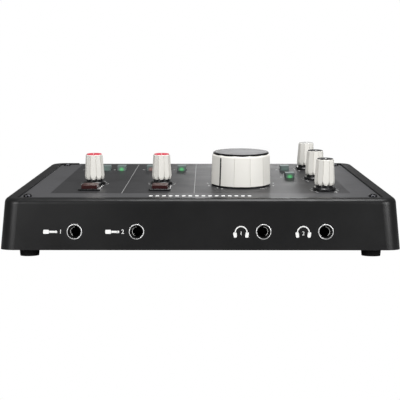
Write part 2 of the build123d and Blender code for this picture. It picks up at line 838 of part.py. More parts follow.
# --- five-pin DIN sockets ---
with BuildPart() as midi_sockets:
    with BuildSketch(rear_sketch_plane(rear_plate_inner)):
        din_height = rear_axis - board_top + din_width / 2
        with Locations(*[(x, board_top + din_height / 2) for x in din_places]):
            Rectangle(din_width, din_height)
    extrude(amount=din_body_depth)
    with BuildSketch(rear_sketch_plane(rear_inner)):
        with Locations(*[(x, rear_axis) for x in din_places]):
            Circle(din_face_radius)
    extrude(amount=rear_plate_thickness)
    with BuildSketch(rear_sketch_plane(rear_inner)):
        with Locations(*[(x, rear_axis) for x in din_places]):
            Circle(din_ring_radius)
            Circle(din_core_radius, mode=Mode.SUBTRACT)
            with PolarLocations(din_pin_circle, 5, start_angle=0, angular_range=180, endpoint=True):
                Circle(din_pin_radius)
    extrude(amount=din_slot_depth, mode=Mode.SUBTRACT)
finish(midi_sockets.part, "midi_sockets")

# --- USB-C socket: formed shell with its tongue ---
with BuildPart() as usb_socket:
    with BuildSketch(rear_sketch_plane(rear_inner)):
        with Locations((usb_x, usb_axis)):
            RectangleRounded(usb_width + 2 * usb_shell, usb_height + 2 * usb_shell, usb_corner + usb_shell)
    extrude(amount=usb_depth)
    with BuildSketch(rear_sketch_plane(rear_inner)):
        with Locations((usb_x, usb_axis)):
            RectangleRounded(usb_width, usb_height, usb_corner)
            Rectangle(usb_tongue_width, usb_tongue_thickness, mode=Mode.SUBTRACT)
    extrude(amount=usb_depth - usb_back, mode=Mode.SUBTRACT)
finish(usb_socket.part, "usb_socket")

# --- ribbon cable with a moulded socket at each end ---
with BuildPart() as ribbon_cable:
    upper_z = panel_mid_height + (ribbon_y * sin(tilt) - control_board_drop - board_thickness) / cos(tilt)
    upper_socket_foot = upper_z - header_height
    lower_socket_top = board_top + header_height
    ribbon_straight = (upper_socket_foot - lower_socket_top - ribbon_fold_height) / 2
    with BuildSketch(Plane.YZ):
        with BuildLine():
            FilletPolyline(
                (ribbon_y, lower_socket_top - ribbon_entry),
                (ribbon_y, lower_socket_top + ribbon_straight),
                (ribbon_y + ribbon_reach, (lower_socket_top + upper_socket_foot) / 2),
                (ribbon_y, upper_socket_foot - ribbon_straight),
                (ribbon_y, upper_socket_foot + ribbon_entry),
                radius=ribbon_bend,
            )
        trace(line_width=ribbon_thickness)
    extrude(amount=ribbon_width / 2, both=True)
    with BuildSketch(Plane.XY.offset(board_top)):
        with Locations((0, ribbon_y)):
            Rectangle(ribbon_width + 2 * header_overhang, header_depth)
    extrude(amount=header_height)
    with BuildSketch(panel.offset(-control_board_drop - board_thickness)):
        with Locations((0, along_slope(ribbon_y, -control_board_drop - board_thickness))):
            Rectangle(ribbon_width + 2 * header_overhang, header_depth)
    extrude(amount=-header_height)
finish(ribbon_cable.part, "ribbon_cable")


def make_shaft(name, place):
    """A control's shaft, from inside its body up into the knob's hub."""
    with BuildPart() as shaft:
        foot = -control_board_drop + pot_floor + moving_gap
        with BuildSketch(stand(place, foot)):
            Circle(shaft_radius)
        extrude(amount=shaft_top - foot)
    finish(shaft.part, f"{name}_shaft")


def make_small_knob(name, place):
    """A small knob: black hub, fluted cream sleeve and coloured cap with a raised pointer."""
    with BuildPart() as hub:
        with BuildSketch(stand(place, knob_lift)):
            Circle(hub_radius)
        extrude(amount=hub_flange_height - knob_lift)
        chamfer(edges().filter_by(GeomType.CIRCLE).group_by(Axis((0, 0, 0), normal))[-1], hub_flange_chamfer)
        with BuildSketch(stand(place, hub_flange_height)):
            Circle(hub_neck_radius)
        extrude(amount=sleeve_foot - hub_flange_height)
        with BuildSketch(stand(place, sleeve_foot)):
            Circle(hub_core_radius)
        extrude(amount=sleeve_top - cap_thickness + cap_stand - sleeve_foot - seat_gap)
        with BuildSketch(stand(place, knob_lift)):
            Circle(shaft_radius + seat_gap)
        extrude(amount=shaft_top - knob_lift + seat_gap, mode=Mode.SUBTRACT)
    finish(hub.part, f"{name}_hub")

    with BuildPart() as sleeve:
        with BuildSketch(stand(place, sleeve_foot)):
            RegularPolygon(sleeve_bottom_radius, sleeve_facets)
        with BuildSketch(stand(place, sleeve_top)):
            RegularPolygon(sleeve_top_radius, sleeve_facets)
        loft()
        # The foot is turned to a cone, which leaves a petal at the foot of each facet.
        axis_plane = stand(place)
        side_plane = Plane(origin=axis_plane.origin, x_dir=(1, 0, 0), z_dir=axis_plane.y_dir * -1)
        with BuildSketch(side_plane):
            with BuildLine():
                Polyline(
                    (0, sleeve_foot),
                    (sleeve_cone_radius, sleeve_foot),
                    (sleeve_bottom_radius, sleeve_foot + sleeve_cone_height),
                    (sleeve_bottom_radius, sleeve_top - sleeve_edge),
                    (sleeve_top_radius - sleeve_edge, sleeve_top),
                    (0, sleeve_top),
                    close=True,
                )
            make_face()
        revolve(axis=Axis(axis_plane.origin, normal), mode=Mode.INTERSECT)
        with BuildSketch(stand(place, sleeve_foot)):
            Circle(hub_core_radius + seat_gap)
        extrude(amount=sleeve_top - sleeve_foot, mode=Mode.SUBTRACT)
        with BuildSketch(stand(place, sleeve_top)):
            Circle(cap_radius + seat_gap)
        extrude(amount=-(cap_thickness - cap_stand), mode=Mode.SUBTRACT)
    finish(sleeve.part, f"{name}_sleeve")

    with BuildPart() as cap:
        with BuildSketch(stand(place, sleeve_top - cap_thickness + cap_stand)):
            Circle(cap_radius)
        extrude(amount=cap_thickness)
        fillet(edges().filter_by(GeomType.CIRCLE).group_by(Axis((0, 0, 0), normal))[-1], cap_edge)
        with BuildSketch(stand(place, sleeve_top + cap_stand)):
            with Locations((0, (pointer_inset - cap_radius) / 2)):
                Rectangle(pointer_width, cap_radius - pointer_inset)
        extrude(amount=pointer_height)
    finish(cap.part, f"{name}_cap")


for knob_name, knob_place in small_knobs.items():
    make_shaft(knob_name, knob_place)
    make_small_knob(knob_name, knob_place)


def facet_ring(radius):
    """A face with gently bulging facets, one of them facing the front."""
    turn = 360 / monitor_facets
    corners = [
        (radius * cos(radians(turn * (i + 0.5) - 90)), radius * sin(radians(turn * (i + 0.5) - 90)))
        for i in range(monitor_facets)
    ]
    with BuildSketch(Plane.XY) as face:
        with BuildLine():
            for i in range(monitor_facets):
                SagittaArc(corners[i - 1], corners[i], -monitor_facet_bulge)
        make_face()
    return face.sketch


# --- monitor knob: faceted cream body with a slot for its black mark ---
make_shaft("monitor", monitor_place)
monitor_axis = Axis(stand(monitor_place).origin, normal)
monitor_side = Plane(origin=monitor_axis.position, x_dir=(1, 0, 0), z_dir=stand(monitor_place).y_dir * -1)
with BuildPart() as monitor_body:
    with BuildSketch(stand(monitor_place, monitor_foot)):
        add(facet_ring(monitor_bottom_radius))
    with BuildSketch(stand(monitor_place, monitor_top)):
        add(facet_ring(monitor_top_radius))
    loft(ruled=True)
    with BuildSketch(monitor_side):
        with BuildLine():
            Polyline(
                (monitor_top_radius - monitor_round, monitor_top),
                (0, monitor_top),
                (0, monitor_foot),
                (monitor_bottom_radius - monitor_foot_edge, monitor_foot),
                (monitor_bottom_radius, monitor_foot + monitor_foot_edge),
                (monitor_bottom_radius, monitor_foot + 2 * monitor_foot_edge),
                (monitor_top_radius, monitor_top - monitor_round),
            )
            RadiusArc(
                (monitor_top_radius, monitor_top - monitor_round),
                (monitor_top_radius - monitor_round, monitor_top),
                -monitor_round,
            )
        make_face()
    revolve(axis=monitor_axis, mode=Mode.INTERSECT)
    with BuildSketch(stand(monitor_place, monitor_foot)):
        Circle(monitor_bottom_radius - monitor_wall)
        Circle(monitor_boss_radius, mode=Mode.SUBTRACT)
    extrude(amount=monitor_top - monitor_foot - monitor_web, mode=Mode.SUBTRACT)
    with BuildSketch(stand(monitor_place, monitor_foot)):
        Circle(shaft_radius + seat_gap)
    extrude(amount=shaft_top - monitor_foot + seat_gap, mode=Mode.SUBTRACT)
    with BuildSketch(stand(monitor_place, monitor_top)):
        Circle(disc_radius + seat_gap)
    extrude(amount=-(disc_thickness - disc_stand), mode=Mode.SUBTRACT)
    with BuildSketch(stand(monitor_place, monitor_foot)):
        with Locations(Location((0, 0, 0), (0, 0, mark_turn))):
            with Locations((monitor_bottom_radius, 0)):
                Rectangle(2 * mark_depth, mark_width)
    extrude(amount=monitor_top - monitor_foot - monitor_round, mode=Mode.SUBTRACT)
finish(monitor_body.part, "monitor_body")

with BuildPart() as monitor_hub:
    with BuildSketch(stand(monitor_place, knob_lift)):
        Circle(monitor_hub_radius)
    extrude(amount=monitor_foot - knob_lift)
    with BuildSketch(stand(monitor_place, monitor_foot)):
        Circle(monitor_bottom_radius - monitor_wall - seat_gap)
        Circle(monitor_boss_radius + seat_gap, mode=Mode.SUBTRACT)
    extrude(amount=spigot_height)
    with BuildSketch(stand(monitor_place, knob_lift)):
        Circle(shaft_radius + seat_gap)
    extrude(amount=monitor_foot - knob_lift, mode=Mode.SUBTRACT)
finish(monitor_hub.part, "monitor_hub")

with BuildPart() as monitor_disc:
    with BuildSketch(stand(monitor_place, monitor_top + disc_stand)):
        Circle(disc_radius)
    extrude(amount=-disc_thickness)
    chamfer(edges().filter_by(GeomType.CIRCLE).group_by(Axis((0, 0, 0), normal))[-1], disc_edge)
finish(monitor_disc.part, "monitor_disc")


def make_key(name, place, width, depth, rise):
    """A translucent button: cap with a rounded top, retaining flange and stem."""
    with BuildPart() as key:
        with BuildSketch(stand(place, rise)):
            Rectangle(width, depth)
        extrude(amount=-(rise + key_skirt))
        fillet(edges().filter_by(Axis((0, 0, 0), normal)), key_corner)
        fillet(faces().sort_by(Axis((0, 0, 0), normal))[-1].edges(), key_edge)
        with BuildSketch(stand(place, -panel_thickness - moving_gap)):
            Rectangle(width + 2 * key_flange, depth + 2 * key_flange)
        extrude(amount=-key_flange_thickness)
        with BuildSketch(stand(place, -key_skirt)):
            Circle(stem_radius)
        extrude(amount=-stem_length)
    finish(key.part, f"{name}_button")


for key_name, key_place in small_keys.items():
    make_key(key_name, key_place, key_size, key_size, key_stand)
for key_name, key_place in wide_keys.items():
    make_key(key_name, key_place, wide_key_width, wide_key_depth, wide_key_stand)
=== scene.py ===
import json
import math

import bmesh
import bpy
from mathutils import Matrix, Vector

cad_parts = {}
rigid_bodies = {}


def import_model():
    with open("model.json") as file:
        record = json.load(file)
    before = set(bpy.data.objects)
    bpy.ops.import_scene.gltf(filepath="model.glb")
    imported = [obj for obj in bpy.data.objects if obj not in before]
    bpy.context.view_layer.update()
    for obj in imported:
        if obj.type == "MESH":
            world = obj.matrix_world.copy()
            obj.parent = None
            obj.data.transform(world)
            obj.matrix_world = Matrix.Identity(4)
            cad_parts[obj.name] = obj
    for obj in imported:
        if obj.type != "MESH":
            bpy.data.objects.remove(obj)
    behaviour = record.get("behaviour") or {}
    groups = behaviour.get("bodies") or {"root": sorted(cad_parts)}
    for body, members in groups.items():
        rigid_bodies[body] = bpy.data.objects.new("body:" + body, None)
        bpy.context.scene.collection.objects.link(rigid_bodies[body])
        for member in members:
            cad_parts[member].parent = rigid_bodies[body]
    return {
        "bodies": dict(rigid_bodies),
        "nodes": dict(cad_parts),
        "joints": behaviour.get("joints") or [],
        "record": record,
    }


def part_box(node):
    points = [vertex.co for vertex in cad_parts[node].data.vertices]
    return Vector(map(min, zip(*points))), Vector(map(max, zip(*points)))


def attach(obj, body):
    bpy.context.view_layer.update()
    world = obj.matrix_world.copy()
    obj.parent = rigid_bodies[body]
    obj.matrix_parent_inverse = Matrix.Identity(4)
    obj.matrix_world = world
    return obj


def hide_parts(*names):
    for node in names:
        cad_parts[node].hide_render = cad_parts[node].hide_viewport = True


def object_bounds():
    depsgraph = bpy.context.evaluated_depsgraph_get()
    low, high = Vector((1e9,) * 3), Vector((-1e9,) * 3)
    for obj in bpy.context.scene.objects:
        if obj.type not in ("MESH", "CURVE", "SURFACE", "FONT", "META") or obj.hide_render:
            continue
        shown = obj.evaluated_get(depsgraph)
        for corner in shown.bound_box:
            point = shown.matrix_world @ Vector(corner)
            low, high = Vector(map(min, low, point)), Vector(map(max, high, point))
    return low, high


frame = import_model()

cad_box = [list(corner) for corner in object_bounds()]
mm = 0.001
scene = bpy.context.scene

# ---------------------------------------------------------------------------
# Studio. The unit stands on a plain white sweep. A level camera a little above
# panel height looks at the front; soft panels light it from above, behind and beside.
low_corner, high_corner = (Vector(corner) for corner in cad_box)
front_y = low_corner.y

camera_right, camera_distance, camera_height = 2.4 * mm, 443.8 * mm, 57.3 * mm
camera_pitch, camera_yaw = math.radians(87.0), math.radians(0.31)
camera_data = bpy.data.cameras.new("camera")
camera_data.lens = 68.4
camera_data.sensor_width = 36.0
camera_data.clip_start = 0.01
camera = bpy.data.objects.new("camera", camera_data)
camera.location = (camera_right, front_y - camera_distance, camera_height)
camera.rotation_euler = (camera_pitch, 0.0, camera_yaw)
scene.collection.objects.link(camera)
scene.camera = camera
scene.view_settings.view_transform = "Standard"
scene.view_settings.look = "None"


def soft_panel(name, place, aim, size, power):
    """A soft rectangular studio light that faces a point."""
    light = bpy.data.lights.new(name, "AREA")
    light.shape = "RECTANGLE"
    light.size, light.size_y = size
    light.energy = power
    glow_source = bpy.data.objects.new(name, light)
    glow_source.location = place
    glow_source.rotation_euler = (Vector(aim) - Vector(place)).to_track_quat("-Z", "Y").to_euler()
    scene.collection.objects.link(glow_source)


def seen_by_camera(tree, lighting, picture, surface):
    """Show the camera one shader, while every other ray meets another."""
    rays = tree.nodes.new("ShaderNodeLightPath")
    choose = tree.nodes.new("ShaderNodeMixShader")
    tree.links.new(rays.outputs["Is Camera Ray"], choose.inputs["Fac"])
    tree.links.new(lighting, choose.inputs[1])
    tree.links.new(picture, choose.inputs[2])
    tree.links.new(choose.outputs["Shader"], surface)


soft_panel("overhead_light", (0.10, -0.10, 0.90), (0.0, 0.0, 0.03), (0.50, 0.40), 8.0)
soft_panel("glancing_light", (0.10, 1.00, 0.385), (0.02, 0.0, 0.05), (0.30, 0.10), 0.55)
soft_panel("left_light", (-0.55, -0.75, 0.30), (0.0, 0.0, 0.05), (0.35, 0.50), 5.0)
soft_panel("right_light", (0.65, -0.70, 0.30), (0.0, 0.0, 0.05), (0.35, 0.50), 6.0)

world = bpy.data.worlds.new("white_sweep")
scene.world = world
world.use_nodes = True
world_nodes = world.node_tree.nodes
world_nodes.clear()
backdrop = world_nodes.new("ShaderNodeBackground")
backdrop.inputs["Color"].default_value = (1.0, 1.0, 1.0, 1.0)
backdrop.inputs["Strength"].default_value = 1.0
fill = world_nodes.new("ShaderNodeBackground")
fill.inputs["Color"].default_value = (1.0, 1.0, 1.0, 1.0)
fill.inputs["Strength"].default_value = 0.16
sky = world_nodes.new("ShaderNodeOutputWorld")
seen_by_camera(
    world.node_tree, fill.outputs["Background"], backdrop.outputs["Background"],
    sky.inputs["Surface"],
)


def clear_selection():
    """Leave edit mode and select nothing."""
    if bpy.context.object and bpy.context.object.mode != "OBJECT":
        bpy.ops.object.mode_set(mode="OBJECT")
    bpy.ops.object.select_all(action="DESELECT")


floor_size = 6.0
floor_drop = 0.2 * mm
clear_selection()
bpy.ops.mesh.primitive_plane_add(size=floor_size, location=(0.0, 0.0, -floor_drop))
floor = bpy.context.object
floor.name = "floor"
bpy.ops.object.transform_apply(location=True, rotation=False, scale=False)
floor_paint = bpy.data.materials.new("floor_paint")
floor_paint.use_nodes = True
floor_nodes = floor_paint.node_tree.nodes
floor_shader = floor_nodes["Principled BSDF"]
floor_shader.inputs["Base Color"].default_value = (0.30, 0.30, 0.30, 1.0)
floor_shader.inputs["Roughness"].default_value = 0.9
floor_shader.inputs["Specular IOR Level"].default_value = 0.0
floor_white = floor_nodes.new("ShaderNodeEmission")
seen_by_camera(
    floor_paint.node_tree, floor_shader.outputs["BSDF"], floor_white.outputs["Emission"],
    floor_nodes["Material Output"].inputs["Surface"],
)
floor.data.materials.append(floor_paint)

# ---------------------------------------------------------------------------
# Case shell: one black ABS moulding with drafted walls and a rounded top edge,
# spark-textured all over. The other pieces fix into it.


def add_socket(group, name, kind, going_in, value=None):
    """A named socket on a node group."""
    side = "INPUT" if going_in else "OUTPUT"
    socket = group.interface.new_socket(name=name, in_out=side, socket_type=kind)
    if value is not None:
        socket.default_value = value


def build_moulded_grain():
    """Shader group: fine texture of a surface, with slow drift in its tone and sheen."""
    group = bpy.data.node_groups.new("moulded_grain", "ShaderNodeTree")
    add_socket(group, "Colour", "NodeSocketColor", True, (0.02, 0.02, 0.02, 1.0))
    add_socket(group, "Tone Drift", "NodeSocketFloat", True, 0.1)
    add_socket(group, "Roughness", "NodeSocketFloat", True, 0.5)
    add_socket(group, "Sheen Drift", "NodeSocketFloat", True, 0.1)
    add_socket(group, "Grain Per Metre", "NodeSocketFloat", True, 2500.0)
    add_socket(group, "Colour", "NodeSocketColor", False)
    add_socket(group, "Roughness", "NodeSocketFloat", False)
    add_socket(group, "Height", "NodeSocketFloat", False)
    nodes, links = group.nodes, group.links
    incoming = nodes.new("NodeGroupInput")
    outgoing = nodes.new("NodeGroupOutput")
    place = nodes.new("ShaderNodeTexCoord")
    grain = nodes.new("ShaderNodeTexNoise")
    grain.inputs["Detail"].default_value = 2.0
    links.new(place.outputs["Object"], grain.inputs["Vector"])
    links.new(incoming.outputs["Grain Per Metre"], grain.inputs["Scale"])
    links.new(grain.outputs["Fac"], outgoing.inputs["Height"])
    drift = nodes.new("ShaderNodeTexNoise")
    drift.inputs["Scale"].default_value = 45.0
    drift.inputs["Detail"].default_value = 4.0
    links.new(place.outputs["Object"], drift.inputs["Vector"])
    # Half of the grain and all of the drift, which together are centred on zero.
    blended = nodes.new("ShaderNodeMath")
    blended.operation = "MULTIPLY_ADD"
    blended.inputs[1].default_value = 0.5
    blended.inputs[2].default_value = -0.75
    links.new(grain.outputs["Fac"], blended.inputs[0])
    centred = nodes.new("ShaderNodeMath")
    centred.operation = "ADD"
    links.new(drift.outputs["Fac"], centred.inputs[0])
    links.new(blended.outputs["Value"], centred.inputs[1])
    tone = nodes.new("ShaderNodeMath")
    tone.operation = "MULTIPLY_ADD"
    tone.inputs[2].default_value = 1.0
    links.new(centred.outputs["Value"], tone.inputs[0])
    links.new(incoming.outputs["Tone Drift"], tone.inputs[1])
    tinted = nodes.new("ShaderNodeVectorMath")
    tinted.operation = "SCALE"
    links.new(incoming.outputs["Colour"], tinted.inputs[0])
    links.new(tone.outputs["Value"], tinted.inputs["Scale"])
    links.new(tinted.outputs["Vector"], outgoing.inputs["Colour"])
    sheen = nodes.new("ShaderNodeMath")
    sheen.operation = "MULTIPLY_ADD"
    links.new(centred.outputs["Value"], sheen.inputs[0])
    links.new(incoming.outputs["Sheen Drift"], sheen.inputs[1])
    links.new(incoming.outputs["Roughness"], sheen.inputs[2])
    links.new(sheen.outputs["Value"], outgoing.inputs["Roughness"])
    return group


moulded_grain = build_moulded_grain()


def grained(name, colour, roughness, grain_per_metre, depth, tone_drift=0.3, sheen_drift=0.2, **finish):
    """A moulded, cast or painted finish. The grain's depth is in metres."""
    material = bpy.data.materials.new(name)
    material.use_nodes = True
    nodes, links = material.node_tree.nodes, material.node_tree.links
    shader = nodes["Principled BSDF"]
    grain = nodes.new("ShaderNodeGroup")
    grain.name = "grain"
    grain.node_tree = moulded_grain
    grain.inputs["Colour"].default_value = (*colour, 1.0)
    grain.inputs["Tone Drift"].default_value = tone_drift
    grain.inputs["Roughness"].default_value = roughness
    grain.inputs["Sheen Drift"].default_value = sheen_drift
    grain.inputs["Grain Per Metre"].default_value = grain_per_metre
    bump = nodes.new("ShaderNodeBump")
    bump.name = "grain_bump"
    bump.inputs["Strength"].default_value = 1.0
    bump.inputs["Distance"].default_value = depth
    links.new(grain.outputs["Colour"], shader.inputs["Base Color"])
    links.new(grain.outputs["Roughness"], shader.inputs["Roughness"])
    links.new(grain.outputs["Height"], bump.inputs["Height"])
    links.new(bump.outputs["Normal"], shader.inputs["Normal"])
    for socket, value in finish.items():
        shader.inputs[socket.replace("_", " ")].default_value = value
    return material


def dress(material, slot, *nodes):
    """Give CAD nodes their finish."""
    for node in nodes:
        piece = frame["nodes"][node]
        piece.data.materials.clear()
        piece.data.materials.append(material)


case_plastic = grained(
    "case_plastic", (0.0065, 0.0065, 0.0068), 0.36, 2300.0, 0.000022, Specular_IOR_Level=0.28
)
dress(case_plastic, "case_plastic", "case_shell")

# ---------------------------------------------------------------------------
# Base plate: 1.5 mm pressed steel, powder coated black. The screws through the
# feet hold it against the posts inside the case.
powder_coat = grained("powder_coat", (0.022, 0.022, 0.024), 0.55, 1400.0, 0.00004)
dress(powder_coat, "base_steel", "base_plate")

# ---------------------------------------------------------------------------
# Feet: moulded rubber discs that stand the unit off the table, each with a recess
# for the screw that holds it under the base plate.
foot_rubber = grained(
    "foot_rubber", (0.005, 0.005, 0.005), 0.78, 1800.0, 0.00003, Specular_IOR_Level=0.2
)
dress(foot_rubber, "rubber", "feet")

# ---------------------------------------------------------------------------
# Circuit boards and what is soldered or bolted to them, all out of sight inside
# the case: green boards, dark chips, zinc potentiometer cans, plated spacers.
solder_mask = grained("solder_mask", (0.012, 0.075, 0.03), 0.35, 700.0, 0.00002)
dress(solder_mask, "board", "main_board", "control_board")
component_body = grained("component_body", (0.03, 0.03, 0.032), 0.5, 1800.0, 0.00002)
dress(component_body, "components", "board_components")
zinc = grained("zinc", (0.42, 0.42, 0.42), 0.35, 1000.0, 0.00001, Metallic=1.0)
dress(zinc, "pot_metal", "potentiometers")
nickel = grained("nickel", (0.60, 0.59, 0.57), 0.25, 900.0, 0.00001, Metallic=1.0)
dress(nickel, "bright_metal", "board_screws", "board_spacers", "panel_spacers")
black_oxide = grained("black_oxide", (0.055, 0.055, 0.06), 0.26, 1500.0, 0.00001, Metallic=1.0)
dress(black_oxide, "dark_screw", "panel_screws", "base_screws", "rear_panel_screws")

# ---------------------------------------------------------------------------
# Rear panel and its sockets: painted steel behind the case's window, black nylon
# socket bodies, plated nuts and a formed steel USB-C shell. The switches, the ribbon
# cable and the bodies of the front sockets are in the same black.
rear_paint = grained("rear_paint", (0.024, 0.024, 0.026), 0.42, 3000.0, 0.00001)
dress(rear_paint, "rear_paint", "rear_panel")
socket_nylon = grained(
    "socket_nylon", (0.009, 0.009, 0.009), 0.5, 2200.0, 0.00002, Specular_IOR_Level=0.35
)
dress(
    socket_nylon, "socket_plastic",
    "combo_sockets", "output_jacks", "midi_sockets", "switch_bodies", "ribbon_cable", "front_jacks",
)
dress(nickel, "bright_metal", "output_jack_nuts", "usb_socket")

# ---------------------------------------------------------------------------
# Front sockets: each has a thin bright plated bead round it, a black nylon throat
# that funnels into the bore, and the sprung contact that shows inside.
record_mounts = {mount["name"]: mount for mount in frame["record"]["mounts"]}
front_sockets = [
    Vector(record_mounts[name]["pos_m"])
    for name in ("instrument_input_1", "instrument_input_2", "headphone_output_1", "headphone_output_2")
]
bead_radius = 4.2 * mm
bead_thickness = 0.36 * mm
bead_flatness = 0.75
bead_inner = bead_radius - bead_thickness
bore_radius = 3.25 * mm
bore_length = 3.4 * mm
throat_mouth = bead_inner + 0.1 * mm
throat_depth = 1.6 * mm
throat_wall = 0.3 * mm
throat_rear = throat_depth * 0.9
merge_distance = 0.004 * mm


def new_piece(name):
    """The object that the last primitive made, named."""
    piece = bpy.context.object
    piece.name = name
    piece.data.name = name
    return piece


def pick(piece, kind, wanted):
    """In edit mode, select only the vertices, edges or faces that wanted() accepts."""
    bpy.ops.mesh.select_mode(type=kind)
    bpy.ops.mesh.select_all(action="DESELECT")
    net = bmesh.from_edit_mesh(piece.data)
    for part in {"VERT": net.verts, "EDGE": net.edges, "FACE": net.faces}[kind]:
        if wanted(part):
            part.select_set(True)
    net.select_flush_mode()
    bmesh.update_edit_mesh(piece.data)


def fix_in_place(piece):
    """Move a piece's place, turn and scale into its mesh."""
    clear_selection()
    piece.select_set(True)
    bpy.context.view_layer.objects.active = piece
    bpy.ops.object.transform_apply(location=True, rotation=True, scale=True)


def copies_at(piece, places):
    """One mesh with a copy of a piece, as drawn about the origin, at each place."""
    clear_selection()
    others = []
    for place in places[1:]:
        other = piece.copy()
        other.data = piece.data.copy()
        scene.collection.objects.link(other)
        other.location = Vector(place)
        others.append(other)
    piece.location = Vector(places[0])
    for other in others:
        other.select_set(True)
    piece.select_set(True)
    bpy.context.view_layer.objects.active = piece
    if others:
        bpy.ops.object.join()
    fix_in_place(piece)


def finish_piece(piece, body, slot, material, *replaced, smooth_angle=35.0):
    """Shade a finished piece, give it its finish and say which body it belongs to."""
    clear_selection()
    piece.select_set(True)
    bpy.context.view_layer.objects.active = piece
    bpy.ops.object.shade_smooth_by_angle(angle=math.radians(smooth_angle))
    piece.data.materials.clear()
    piece.data.materials.append(material)
    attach(piece, body)
    if replaced:
        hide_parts(*replaced)


def join_pieces(name, pieces):
    """Several objects made one."""
    clear_selection()
    for piece in pieces:
        piece.select_set(True)
    bpy.context.view_layer.objects.active = pieces[0]
    if len(pieces) > 1:
        bpy.ops.object.join()
    whole = bpy.context.object
    whole.name = name
    whole.data.name = name
    return whole


def cut_with(piece, cutter, operation="DIFFERENCE"):
    """Cut a piece with another one, which is used up, and close the tiny gaps left."""
    cut = piece.modifiers.new("cut", "BOOLEAN")
    cut.operation = operation
    cut.solver = "EXACT"
    cut.object = cutter
    clear_selection()
    piece.select_set(True)
    bpy.context.view_layer.objects.active = piece
    bpy.ops.object.modifier_apply(modifier="cut")
    bpy.data.objects.remove(cutter, do_unlink=True)
    bpy.ops.object.mode_set(mode="EDIT")
    bpy.ops.mesh.select_all(action="SELECT")
    bpy.ops.mesh.remove_doubles(threshold=merge_distance)
    bpy.ops.mesh.dissolve_degenerate(threshold=merge_distance)
    bpy.ops.object.mode_set(mode="OBJECT")


facing_front = (math.radians(90.0), 0.0, 0.0)

clear_selection()
bpy.ops.mesh.primitive_torus_add(
    major_radius=bead_radius, minor_radius=bead_thickness, major_segments=72, minor_segments=12,
    rotation=facing_front,
)
socket_bead = new_piece("socket_beads")
fix_in_place(socket_bead)
bpy.ops.object.mode_set(mode="EDIT")
bpy.ops.mesh.select_all(action="SELECT")
bpy.ops.transform.resize(value=(1.0, bead_flatness, 1.0))
bpy.ops.object.mode_set(mode="OBJECT")
ring_plating = grained("ring_plating", (0.72, 0.72, 0.72), 0.42, 1200.0, 0.000005, Metallic=1.0)
bead_set_back = Vector((0.0, bead_thickness * bead_flatness, 0.0))
copies_at(socket_bead, [socket + bead_set_back for socket in front_sockets])
finish_piece(socket_bead, "case", "chrome_ring", ring_plating, "front_jack_rings", smooth_angle=60.0)

clear_selection()
bpy.ops.mesh.primitive_cone_add(
    vertices=72, radius1=bore_radius, radius2=throat_mouth, depth=throat_depth,
    end_fill_type="NOTHING", location=(0.0, throat_depth / 2, 0.0), rotation=facing_front,
)
throat = new_piece("socket_throats")
fix_in_place(throat)
bpy.ops.object.mode_set(mode="EDIT")
pick(throat, "EDGE", lambda edge: all(v.co.y > throat_rear for v in edge.verts))
bpy.ops.mesh.extrude_region_move(TRANSFORM_OT_translate={"value": (0.0, bore_length, 0.0)})
bpy.ops.object.mode_set(mode="OBJECT")
walled = throat.modifiers.new("wall", "SOLIDIFY")
walled.thickness = throat_wall
walled.offset = 1.0
bpy.ops.object.modifier_apply(modifier="wall")
copies_at(throat, front_sockets)
finish_piece(throat, "case", "socket_plastic", socket_nylon)

contact_radius = 2.75 * mm
contact_depth = 3.0 * mm
contact_wire_radius = 0.22 * mm
contact_merge = 0.005 * mm
contact_steps = 18
contact_sweep = math.radians(150.0)
clear_selection()
bpy.ops.mesh.primitive_circle_add(
    vertices=8, radius=contact_wire_radius, fill_type="NOTHING",
    location=(0.0, contact_depth, contact_radius), rotation=(0.0, math.radians(90.0), 0.0),
)
contact = new_piece("socket_contacts")
fix_in_place(contact)
bpy.ops.object.mode_set(mode="EDIT")
bpy.ops.mesh.select_all(action="SELECT")
bpy.ops.mesh.spin(
    steps=contact_steps, angle=contact_sweep, center=(0.0, contact_depth, 0.0), axis=(0.0, 1.0, 0.0)
)
bpy.ops.mesh.select_all(action="SELECT")
bpy.ops.mesh.remove_doubles(threshold=contact_merge)
bpy.ops.mesh.select_non_manifold()
bpy.ops.mesh.edge_face_add()
bpy.ops.mesh.select_all(action="SELECT")
bpy.ops.mesh.normals_make_consistent(inside=False)
bpy.ops.object.mode_set(mode="OBJECT")
turned_contact = contact.copy()
turned_contact.data = contact.data.copy()
scene.collection.objects.link(turned_contact)
turned_contact.rotation_euler = (0.0, contact_sweep, 0.0)
fix_in_place(turned_contact)
copies_at(contact, front_sockets[:2])
copies_at(turned_contact, front_sockets[2:])
contact = join_pieces("socket_contacts", [contact, turned_contact])
tin_plate = grained("tin_plate", (0.62, 0.62, 0.60), 0.55, 1500.0, 0.00001, Metallic=0.5)
finish_piece(contact, "case", "bright_metal", tin_plate, "jack_contacts", smooth_angle=60.0)

# ---------------------------------------------------------------------------
# Front symbols: white screen-printed ink on the front wall, a plug for each
# instrument input and a pair of headphones for each output, each with its number.
ink_thickness = 0.03 * mm
ink_lift = 0.03 * mm
bead_front = Vector(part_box("front_jack_rings")[0]).y
bead_stand = 0.3 * mm
wall_y = bead_front + bead_stand
wall_draft = 1.0 / 29.8
wall_lean = math.atan(wall_draft)
socket_height = front_sockets[0].z
text_size_per_height = 1.4
band_seed = 0.02 * mm
band_merge = 0.001 * mm
white_ink = grained("white_ink", (0.80, 0.80, 0.79), 0.5, 3000.0, 0.000003, tone_drift=0.1)


